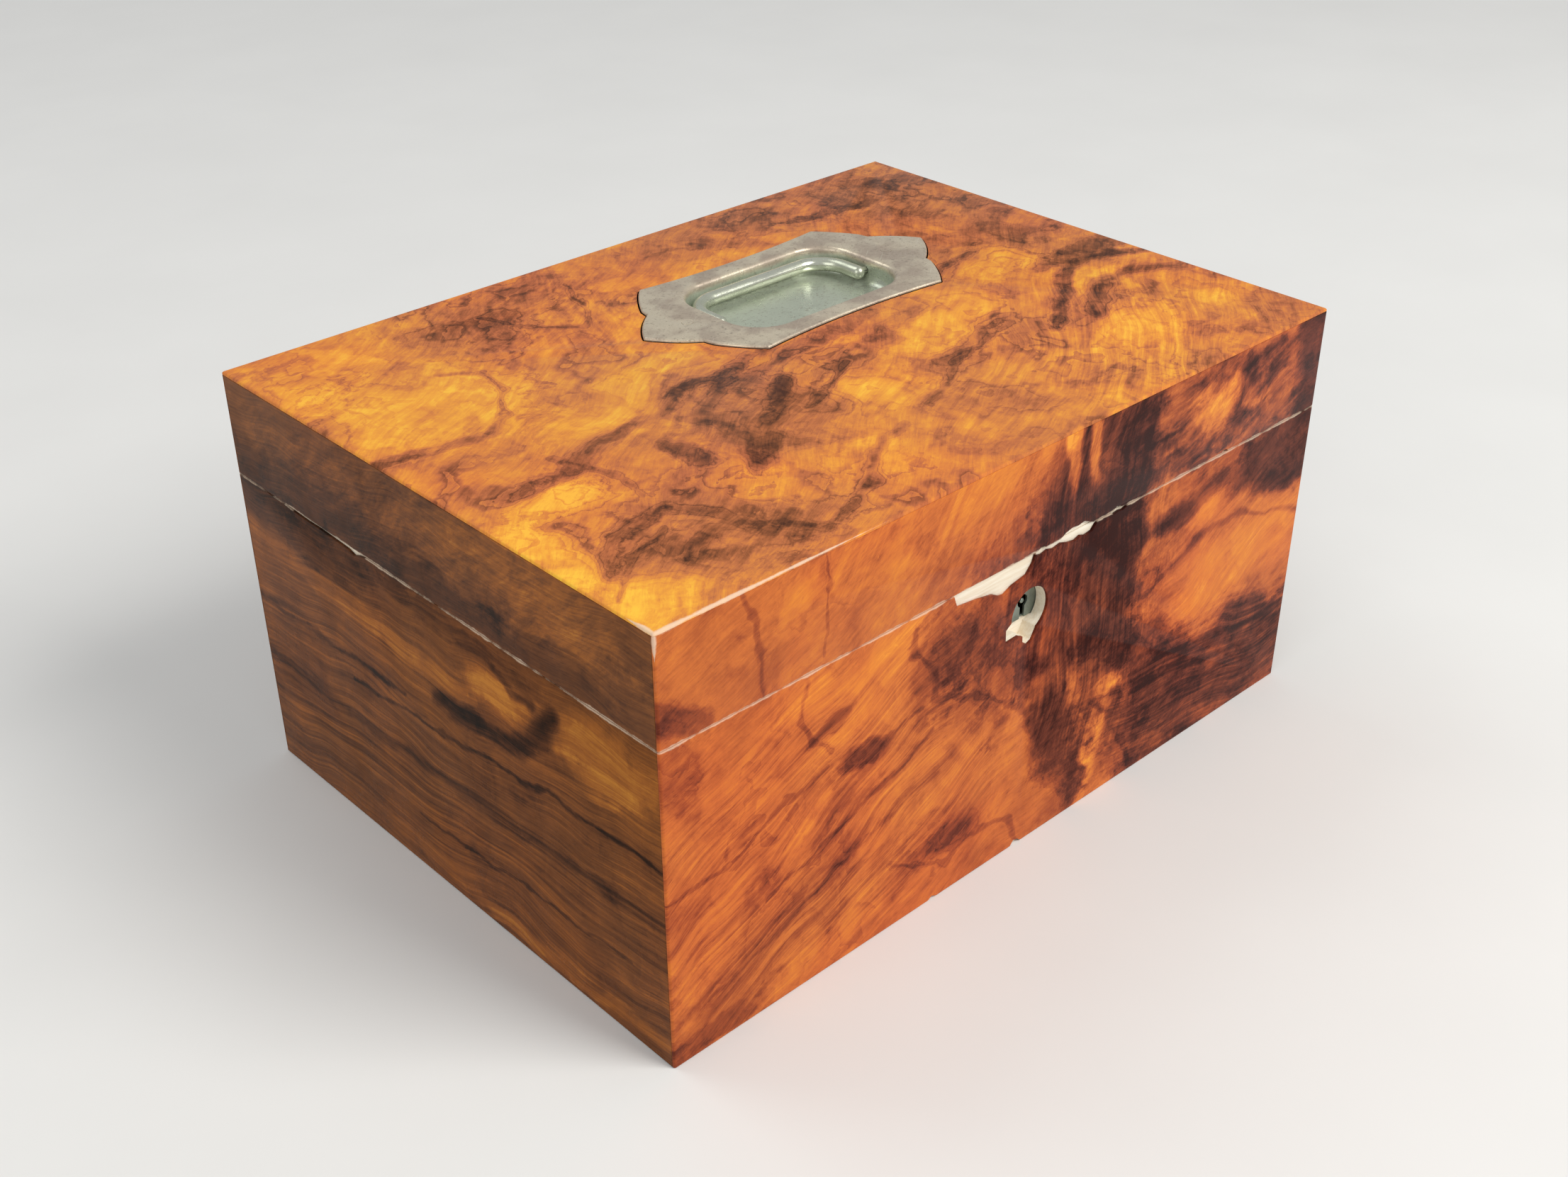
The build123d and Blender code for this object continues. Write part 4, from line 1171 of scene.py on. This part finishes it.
@dataclass
class Woodwork:
    """The veneers, the boards under them and the tray's boards."""

    finishes: Finishes
    boards: tuple[str, ...] = (
        "base_front_board",
        "base_back_board",
        "base_left_board",
        "base_right_board",
        "bottom_board",
        "lid_top_board",
        "lid_front_board",
        "lid_back_board",
        "lid_left_board",
        "lid_right_board",
    )
    tray: tuple[str, ...] = (
        "tray_front_wall",
        "tray_back_wall",
        "tray_left_wall",
        "tray_right_wall",
        "tray_floor",
        "tray_long_dividers",
        "tray_cross_dividers",
        "left_tray_ledge",
        "right_tray_ledge",
        "lid_lining_frame",
    )

    def build(self) -> None:
        """Makes all of the woodwork."""
        for part in ("base", "lid"):
            for face in (Face.FRONT, Face.BACK, Face.LEFT, Face.RIGHT):
                Shop.refined(f"{part}_{face.value}_veneer", self.finishes.walnut[face], Bevels.VENEER)
        Shop.refined("lid_top_veneer", self.finishes.walnut[Face.TOP], Bevels.VENEER)
        for node in self.boards:
            Shop.refined(node, self.finishes.pine, Bevels.BOARD)
        for node in self.tray:
            Shop.refined(node, self.finishes.mahogany, Bevels.TRAY)


@dataclass
class Screws:
    """A group of slotted countersunk screws that face one way."""

    node: str
    places: tuple[tuple[float, float, float], ...]
    facing: tuple[float, float, float]
    length: float
    head: float = 2.1
    shank: float = 1.1
    slot_width: float = 0.5
    slot_depth: float = 0.6
    first_turn: float = 20.0

    def screw(self, place: tuple[float, float, float], turn: float) -> bpy.types.Object:
        """Makes one screw.

        Args:
            place: The middle of its head's face, in millimetres.
            turn: How its slot is turned, in degrees.

        Returns:
            The screw.
        """
        way = Vector(self.facing)
        spin = way.to_track_quat("Z", "Y") @ Matrix.Rotation(math.radians(turn), 3, "Z").to_quaternion()
        at = Vector(place)
        cone_depth = self.head - self.shank
        bpy.ops.mesh.primitive_cone_add(
            vertices=32,
            radius1=self.shank * MM,
            radius2=self.head * MM,
            depth=cone_depth * MM,
            location=(at - way * cone_depth / 2) * MM,
            rotation=spin.to_euler(),
        )
        head = bpy.context.active_object
        bpy.ops.mesh.primitive_cube_add(size=1.0, location=at * MM, rotation=spin.to_euler())
        cutter = bpy.context.active_object
        cutter.scale = (3 * self.head * MM, self.slot_width * MM, 2 * self.slot_depth * MM)
        bpy.ops.object.transform_apply(location=False, rotation=False, scale=True)
        Shop.modify(head, "BOOLEAN", {"operation": "DIFFERENCE", "object": cutter, "solver": "EXACT"})
        bpy.data.objects.remove(cutter)
        shank_length = self.length - cone_depth
        bpy.ops.mesh.primitive_cylinder_add(
            vertices=16,
            radius=self.shank * MM,
            depth=shank_length * MM,
            location=(at - way * (cone_depth + shank_length / 2)) * MM,
            rotation=spin.to_euler(),
        )
        return Shop.joined("screw", [head, bpy.context.active_object])

    def build(self, finish: bpy.types.Material) -> None:
        """Makes the group."""
        turns = [self.first_turn + 67.0 * count for count in range(len(self.places))]
        group = Shop.joined(f"slotted_{self.node}", [self.screw(*pair) for pair in zip(self.places, turns)])
        Shop.settle(group, 30.0)
        Shop.fit(group, self.node, finish)


@dataclass
class Hardware:
    """The handle, hinges, lock and screws."""

    finishes: Finishes
    handle: tuple[str, ...] = ("handle_plate", "handle_pins")
    hinges: tuple[str, ...] = (
        "left_hinge_lower_leaf",
        "right_hinge_lower_leaf",
        "left_hinge_upper_leaf",
        "right_hinge_upper_leaf",
        "left_hinge_pin",
        "right_hinge_pin",
        "lock_plate",
        "lock_link_plate",
    )
    lock: tuple[str, ...] = ("lock_case", "lock_drill_pin", "lock_bolt", "lock_spring")
    base_rim: float = 113.0
    lid_rim: float = 113.3
    hinge_middles: tuple[float, float] = (-88.0, 88.0)
    hinge_screw_steps: tuple[float, float, float] = (-13.0, 0.0, 13.0)
    hinge_screw_y: float = 102.25
    lock_x: float = 1.5
    lock_screw_reach: float = 23.0
    lock_screw_heights: tuple[float, float] = (91.0, 107.0)
    lock_screw_y: float = -97.5
    link_screw_x: tuple[float, float] = (-16.5, 19.5)
    link_screw_y: float = -101.5
    plate_middle: tuple[float, float] = (30.6, 32.8)
    pan_reach: tuple[float, float] = (40.0, 24.0)
    # width and heights of the dark ring that paints the gap's shadow, with dirt, round the handle plate
    gap_shade_width: float = 0.5
    gap_shade_heights: tuple[float, float] = (149.9, 150.04)

    def screws(self) -> tuple[Screws, ...]:
        """Every group of screws, at its place."""
        hinge_x = [middle + step for middle in self.hinge_middles for step in self.hinge_screw_steps]
        lower = tuple((x, self.hinge_screw_y, self.base_rim) for x in hinge_x)
        upper = tuple((x, self.hinge_screw_y, self.lid_rim) for x in hinge_x)
        lock = tuple(
            (self.lock_x + side * self.lock_screw_reach, self.lock_screw_y, z)
            for side in (-1, 1)
            for z in self.lock_screw_heights
        )
        link = tuple((x, self.link_screw_y, self.lid_rim) for x in self.link_screw_x)
        return (
            Screws("lower_hinge_screws", lower, (0, 0, 1), 8.5),
            Screws("upper_hinge_screws", upper, (0, 0, -1), 8.5, first_turn=51.0),
            Screws("lock_screws", lock, (0, 1, 0), 9.0),
            Screws("link_plate_screws", link, (0, 0, -1), 8.5),
        )

    def grime(self) -> None:
        """Lays a thin dark ring round the handle plate: painted shadow of the gap at its edge, with old waxy
        dirt.
        """
        line = Shop.merged("handle_plate", "handle_plate_grime")
        centre = Vector((*self.plate_middle, 0.0)) * MM
        pan = Vector((*self.pan_reach, 0.0)) * MM

        def inside(face: bpy.types.MeshPolygon) -> bool:
            """Whether a face is flat, or belongs to the pan."""
            away = face.center - centre
            return abs(face.normal.z) > 0.3 or (abs(away.x) < pan.x and abs(away.y) < pan.y)

        Shop.cut_away(line, inside)
        Shop.modify(line, "SOLIDIFY", {"thickness": self.gap_shade_width * MM, "offset": 1.0})
        low = min(vertex.co.z for vertex in line.data.vertices)
        high = max(vertex.co.z for vertex in line.data.vertices)
        for vertex in line.data.vertices:
            below = vertex.co.z < (low + high) / 2
            vertex.co.z = self.gap_shade_heights[0 if below else 1] * MM
        Shop.settle(line, 30.0)
        # the dark finish paints the gap's shadow round the plate, together with dirt
        Shop.beside(line, "handle_plate", self.finishes.wax)

    def build(self) -> None:
        """Makes all of the hardware."""
        for node in self.handle:
            Shop.refined(node, self.finishes.plate, Bevels.METAL)
        # painted shadow: a dark ring round the plate stands for the gap's shade, with dirt
        self.grime()
        Shop.refined("handle_bail", self.finishes.bail, 0.0)
        for node in self.hinges:
            Shop.refined(node, self.finishes.brass, Bevels.METAL)
        for node in self.lock:
            Shop.refined(node, self.finishes.steel, 0.1)
        for group in self.screws():
            group.build(self.finishes.steel if group.node == "lock_screws" else self.finishes.brass)


@dataclass
class Pad:
    """A stuffed piece swollen by a short cloth simulation."""

    node: str
    half: tuple[float, float]
    low: float
    high: float
    voxel: float
    pressure: float
    cap: float
    fill: float
    moments: int = 20

    def start(self) -> bpy.types.Object:
        """The slack shape that swells: a box with rounded edges, remeshed evenly."""
        bpy.ops.mesh.primitive_cube_add(size=1.0, location=(0.0, 0.0, (self.low + self.high) / 2 * MM))
        pad = bpy.context.active_object
        pad.scale = (2 * self.half[0] * MM, 2 * self.half[1] * MM, (self.high - self.low) * MM)
        Shop.pick(pad)
        bpy.ops.object.transform_apply(location=True, rotation=True, scale=True)
        Shop.soften(pad, 1.5, 3)
        Shop.modify(pad, "REMESH", {"mode": "VOXEL", "voxel_size": self.voxel * MM})
        return pad

    def swell(self, pad: bpy.types.Object, held: list[int]) -> None:
        """Runs the simulation with some points held, then keeps the result.

        Args:
            pad: The remeshed pad.
            held: The points that are sewn or glued down.
        """
        group = pad.vertex_groups.new(name="held")
        group.add(held, 1.0, "REPLACE")
        before = [vertex.co.copy() for vertex in pad.data.vertices]
        Shop.pick(pad)
        cloth = pad.modifiers.new("cloth", "CLOTH")
        cloth.settings.use_pressure = True
        cloth.settings.uniform_pressure_force = self.pressure
        cloth.settings.vertex_group_mass = "held"
        cloth.settings.tension_stiffness = 12.0
        cloth.settings.compression_stiffness = 6.0
        cloth.settings.bending_stiffness = 0.4
        cloth.settings.effector_weights.gravity = 0.0
        cloth.collision_settings.use_collision = False
        cloth.point_cache.frame_start = 1
        cloth.point_cache.frame_end = self.moments
        for moment in range(1, self.moments + 1):
            bpy.context.scene.frame_set(moment)
        bpy.ops.object.modifier_apply(modifier=cloth.name)
        bpy.context.scene.frame_set(1)
        for vertex, origin in zip(pad.data.vertices, before):
            moved = vertex.co - origin
            if moved.length > self.cap * MM:
                vertex.co = origin + moved.normalized() * self.cap * MM
        pad.vertex_groups.clear()


@dataclass
class LidPad(Pad):
    """The buttoned silk pad inside the lid."""

    button_radius: float = 3.8
    cord_radius: float = 0.7
    cord_pitch: float = 5.0
    drawn_in: float = 2.8
    stands_out: float = 4.4
    button_rows: tuple[tuple[float, int], ...] = ((-46.0, 4), (0.0, 5), (46.0, 4))
    button_step: float = 52.0
    longest_pleat: float = 54.0
    outer_buttons: float = 75.0
    tuft_reach: float = 8.0
    pleat_reach: float = 2.4
    pleat_depth: float = 0.55
    cord_corner: float = 3.0
    cord_step: float = 0.5
    strand_reach: float = 0.62

    def buttons(self) -> list[tuple[float, float]]:
        """Where the buttons are, in a staggered pattern."""
        return [
            ((place - (count - 1) / 2) * self.button_step, y)
            for y, count in self.button_rows
            for place in range(count)
        ]

    def button(self, at: tuple[float, float]) -> bpy.types.Object:
        """One covered button, sunk in the pad."""
        bpy.ops.mesh.primitive_uv_sphere_add(
            segments=24,
            ring_count=12,
            radius=self.button_radius * MM,
            location=(at[0] * MM, at[1] * MM, (self.high - self.drawn_in - 0.6) * MM),
        )
        button = bpy.context.active_object
        button.scale = (1.0, 1.0, 0.45)
        return button

    def pleats(self) -> list[tuple[tuple[float, float], tuple[float, float]]]:
        """Where the silk is folded: from button to button, and out from the last buttons to the edge."""
        buttons = self.buttons()
        folds = []
        for number, first in enumerate(buttons):
            for second in buttons[number + 1 :]:
                if first[1] != second[1] and math.dist(first, second) < self.longest_pleat:
                    folds.append((first, second))
        for x, y in buttons:
            if y:
                folds.append(((x, y), (x, math.copysign(self.half[1], y))))
            if abs(x) > self.outer_buttons:
                folds.append(((x, y), (math.copysign(self.half[0], x), y)))
        return folds

    @staticmethod
    def off(x: float, y: float, start: tuple[float, float], end: tuple[float, float]) -> float:
        """How far a point is from a straight fold."""
        across, up = end[0] - start[0], end[1] - start[1]
        share = ((x - start[0]) * across + (y - start[1]) * up) / (across * across + up * up)
        share = max(0.0, min(1.0, share))
        return math.hypot(x - start[0] - share * across, y - start[1] - share * up)

    def shape(self, pad: bpy.types.Object) -> list[int]:
        """Draws the pad in at its edge, buttons and folds, and fills it out between them.

        Args:
            pad: The remeshed pad.

        Returns:
            The points that are sewn or glued down.
        """
        buttons, pleats = self.buttons(), self.pleats()
        held = []
        for vertex in pad.data.vertices:
            x, y, z = (value / MM for value in vertex.co)
            rim = max(0.0, min(self.half[0] - abs(x), self.half[1] - abs(y)))
            button = min(math.dist((x, y), at) for at in buttons)
            pleat = min(self.off(x, y, *fold) for fold in pleats)
            full = 1.0 - math.exp(-((button / self.tuft_reach) ** 2))
            full = full * (1.0 - math.exp(-((rim / self.tuft_reach) ** 2)))
            full = full * (1.0 - self.pleat_depth * math.exp(-((pleat / self.pleat_reach) ** 2)))
            thickness = self.drawn_in + self.stands_out * full
            if z > self.high - 1.2 or rim < self.voxel or button < 3.4 or pleat < 1.0:
                held.append(vertex.index)
            vertex.co.z = (self.high - (self.high - z) * thickness / (self.high - self.low)) * MM
        return held

    def round_path(self) -> list[tuple[float, float, float, float]]:
        """Points along the pad's edge, each with the way out from it, close together."""
        corner = self.cord_corner
        wide, deep = self.half[0] + 0.5 - corner, self.half[1] + 0.5 - corner
        points = []
        for quarter, (sx, sy) in enumerate(((1, 1), (-1, 1), (-1, -1), (1, -1))):
            for step in range(9):
                angle = math.radians(90.0 * quarter + 11.25 * step)
                out = (math.cos(angle), math.sin(angle))
                points.append((sx * wide + corner * out[0], sy * deep + corner * out[1], *out))
        path = []
        for start, end in zip(points, points[1:] + points[:1]):
            length = math.hypot(end[0] - start[0], end[1] - start[1])
            steps = max(1, round(length / self.cord_step))
            for step in range(steps):
                share = step / steps
                path.append(tuple(a + (b - a) * share for a, b in zip(start, end)))
        return path

    def cord(self, finishes: Finishes) -> None:
        """Lays a twisted silk cord over the pad's edge."""
        path = self.round_path()
        turns = round(len(path) * self.cord_step / self.cord_pitch)
        strands = []
        for strand in range(2):
            curve = bpy.data.curves.new("strand", "CURVE")
            curve.dimensions = "3D"
            curve.bevel_depth = self.cord_radius * MM
            curve.bevel_resolution = 1
            spline = curve.splines.new("POLY")
            spline.points.add(len(path) - 1)
            spline.use_cyclic_u = True
            for number, (x, y, out_x, out_y) in enumerate(path):
                angle = 2 * math.pi * turns * number / len(path) + math.pi * strand
                out, up = self.strand_reach * math.cos(angle), self.strand_reach * math.sin(angle)
                place = (x + out * out_x, y + out * out_y, self.high - self.drawn_in - 0.4 + up)
                spline.points[number].co = (*(value * MM for value in place), 1.0)
            piece = bpy.data.objects.new("strand", curve)
            bpy.context.scene.collection.objects.link(piece)
            Shop.pick(piece)
            bpy.ops.object.convert(target="MESH")
            strands.append(bpy.context.active_object)
        cord = Shop.joined("lid_pad_cord", strands)
        Shop.settle(cord, 70.0)
        Shop.beside(cord, self.node, finishes.ribbon)

    def build(self, finishes: Finishes) -> None:
        """Makes the pad, its buttons and its cord."""
        pad = self.start()
        held = self.shape(pad)
        self.swell(pad, held)
        Shop.modify(pad, "SUBSURF", {"levels": 1, "render_levels": 1})
        pad.name = "buttoned_lid_pad"
        Shop.settle(pad, 60.0)
        Shop.fit(pad, self.node, finishes.silk)
        buttons = Shop.joined("lid_pad_buttons", [self.button(at) for at in self.buttons()])
        Shop.settle(buttons, 60.0)
        Shop.beside(buttons, self.node, finishes.silk)
        self.cord(finishes)


@dataclass
class PinCushion(Pad):
    """The velvet pincushion in the middle of the tray."""

    wall: tuple[float, float] = (43.3, 29.3)
    top: float = 112.4
    tacked: float = 8.0

    def build(self, finishes: Finishes) -> None:
        """Makes the cushion."""
        pad = self.start()
        held = [v.index for v in pad.data.vertices if v.co.z < (self.low + self.tacked) * MM]
        self.swell(pad, held)
        for vertex in pad.data.vertices:
            vertex.co.x = max(-self.wall[0] * MM, min(self.wall[0] * MM, vertex.co.x))
            vertex.co.y = max(-self.wall[1] * MM, min(self.wall[1] * MM, vertex.co.y))
            vertex.co.z = min(self.top * MM, vertex.co.z)
        Shop.modify(pad, "SUBSURF", {"levels": 1, "render_levels": 1})
        pad.name = "velvet_pincushion"
        Shop.settle(pad, 60.0)
        Shop.fit(pad, self.node, finishes.velvet)


@dataclass
class RibbonTabs:
    """The folded ribbon loops that lift the tray."""

    node: str = "tray_tabs"
    away: float = 134.2
    width: float = 14.0
    low: float = 95.0
    high: float = 115.0
    half_gap: float = 0.22
    thickness: float = 0.18

    def loop(self, side: int) -> bpy.types.Object:
        """One loop.

        Args:
            side: -1 for the left end of the tray, 1 for the right.

        Returns:
            The loop.
        """
        curve = bpy.data.curves.new("ribbon", "CURVE")
        curve.dimensions = "2D"
        curve.fill_mode = "NONE"
        spline = curve.splines.new("BEZIER")
        fold = self.high - self.half_gap - self.thickness
        profile = (
            (-self.half_gap, self.low),
            (-self.half_gap * 1.2, (self.low + fold) / 2),
            (-self.half_gap, fold),
            (0.0, fold + self.half_gap),
            (self.half_gap, fold),
            (self.half_gap * 1.3, (self.low + fold) / 2 + 2.0),
            (self.half_gap, self.low + 1.0),
        )
        spline.bezier_points.add(len(profile) - 1)
        for point, (out, up) in zip(spline.bezier_points, profile):
            point.co = ((side * self.away + out) * MM, up * MM, 0.0)
            point.handle_left_type = point.handle_right_type = "AUTO"
        curve.extrude = self.width / 2 * MM
        loop = bpy.data.objects.new("ribbon", curve)
        bpy.context.scene.collection.objects.link(loop)
        loop.rotation_euler = (math.radians(90.0), 0.0, 0.0)
        Shop.pick(loop)
        bpy.ops.object.convert(target="MESH")
        loop = bpy.context.active_object
        bpy.ops.object.transform_apply(location=True, rotation=True, scale=True)
        bpy.ops.object.mode_set(mode="EDIT")
        bpy.ops.mesh.select_all(action="SELECT")
        bpy.ops.mesh.remove_doubles(threshold=0.01 * MM)
        bpy.ops.object.mode_set(mode="OBJECT")
        Shop.modify(loop, "SOLIDIFY", {"thickness": self.thickness * MM, "offset": 0.0})
        return loop

    def build(self, finishes: Finishes) -> None:
        """Makes both loops."""
        tabs = Shop.joined("ribbon_tabs", [self.loop(side) for side in (-1, 1)])
        Shop.settle(tabs, 40.0)
        Shop.fit(tabs, self.node, finishes.ribbon)


@dataclass
class WellPaper:
    """Marbled paper glued to the walls and floor of the well."""

    node: str = "well_lining"
    half: tuple[float, float] = (138.95, 97.45)
    low: float = 8.05
    high: float = 70.0
    corner: float = 1.6
    thickness: float = 0.45

    def build(self, finishes: Finishes) -> None:
        """Makes the lining as one folded sheet, open at the top."""
        bpy.ops.mesh.primitive_cube_add(size=1.0, location=(0.0, 0.0, (self.low + self.high) / 2 * MM))
        paper = bpy.context.active_object
        paper.name = "folded_well_paper"
        paper.scale = (2 * self.half[0] * MM, 2 * self.half[1] * MM, (self.high - self.low) * MM)
        bpy.ops.object.transform_apply(location=True, rotation=True, scale=True)
        Shop.cut_away(paper, lambda face: face.normal.z > 0.5)
        Shop.soften(paper, self.corner, 4)
        Shop.modify(paper, "SOLIDIFY", {"thickness": self.thickness * MM, "offset": -1.0})
        Shop.settle(paper, 30.0)
        Shop.fit(paper, self.node, finishes.paper)


class Studio:
    """The camera, the floor and the lights."""

    CAMERA_PLACE = Vector((-0.3954, -0.4201, 0.4029))
    FORWARD = Vector((0.58265, 0.62579, -0.51856))
    UP = Vector((0.3583, 0.3749, 0.8550))
    LENS = 43.198

    def camera(self) -> None:
        """Sets the camera at the photograph's place, turn and lens."""
        data = bpy.data.cameras.new("camera")
        data.lens = self.LENS
        data.sensor_width = 36.0
        data.sensor_fit = "HORIZONTAL"
        data.clip_start = 0.01
        data.clip_end = 50.0
        camera = bpy.data.objects.new("camera", data)
        bpy.context.scene.collection.objects.link(camera)
        right = self.FORWARD.cross(self.UP).normalized()
        up = right.cross(self.FORWARD).normalized()
        turn = Matrix((right, up, -self.FORWARD.normalized())).transposed()
        camera.matrix_world = Matrix.Translation(self.CAMERA_PLACE) @ turn.to_4x4()
        bpy.context.scene.camera = camera

    def floor(self) -> None:
        """Lays a pale floor just under the box."""
        bpy.ops.object.select_all(action="DESELECT")
        bpy.ops.mesh.primitive_plane_add(size=8.0, location=(0.0, 0.0, -0.0002))
        floor = bpy.context.active_object
        floor.name = "floor"
        bench = Bench("pale_floor")
        mottle = bench.noise(bench.place(), 0.01, 4.0, 0.5)
        tint = bench.blend(mottle, linear(0.90, 0.90, 0.89), linear(0.93, 0.93, 0.92))
        floor.data.materials.append(bench.shade({"Base Color": tint, "Roughness": 0.9}))

    def lamp(self, name: str, place: Vector, target: Vector, size: float, power: float, tint: RGB) -> None:
        """Hangs one soft square lamp.

        Args:
            name: The lamp's name.
            place: Where it hangs, in metres.
            target: What it points at.
            size: Its side, in metres.
            power: Its power, in watts.
            tint: Its colour.
        """
        data = bpy.data.lights.new(name, "AREA")
        data.shape = "SQUARE"
        data.size = size
        data.energy = power
        data.color = tint
        lamp = bpy.data.objects.new(name, data)
        lamp.location = place
        lamp.rotation_euler = (target - place).to_track_quat("-Z", "Y").to_euler()
        bpy.context.scene.collection.objects.link(lamp)

    def lights(self) -> None:
        """Sets the lamps and the pale surroundings."""
        aim = Vector((0.0, 0.0, 0.08))
        self.lamp("key", Vector((0.7, -1.6, 1.7)), aim, 1.2, 42.0, (1.0, 0.98, 0.95))
        self.lamp("fill", Vector((-1.8, -0.4, 1.1)), aim, 1.4, 9.0, (1.0, 0.98, 0.95))
        self.lamp("back", Vector((-0.5, 1.4, 2.2)), aim, 1.4, 12.0, (1.0, 1.0, 1.0))
        world = bpy.data.worlds.new("room")
        world.use_nodes = True
        tree = world.node_tree
        background = tree.nodes["Background"]
        background.inputs[0].default_value = (0.80, 0.81, 0.83, 1.0)
        background.inputs[1].default_value = 0.45
        bpy.context.scene.world = world
        bpy.context.scene.view_settings.view_transform = "Standard"

    def build(self) -> None:
        """Sets up the camera, the floor and the lights."""
        self.camera()
        self.floor()
        self.lights()


def main() -> None:
    """Builds every part of the scene in order."""
    logging.basicConfig(level=logging.INFO, format="%(message)s")
    Studio().build()
    finishes = Finishes()
    Woodwork(finishes).build()
    Hardware(finishes).build()
    LidPad(
        node="lid_lining_pad",
        half=(130.2, 88.7),
        low=131.5,
        high=136.9,
        voxel=2.4,
        pressure=4.0,
        cap=0.8,
        fill=0.7,
    ).build(finishes)
    PinCushion(
        node="pincushion",
        half=(42.4, 28.4),
        low=80.6,
        high=104.5,
        voxel=3.6,
        pressure=5.0,
        cap=8.0,
        fill=0.9,
    ).build(finishes)
    RibbonTabs().build(finishes)
    WellPaper().build(finishes)


if __name__ == "__main__":
    main()
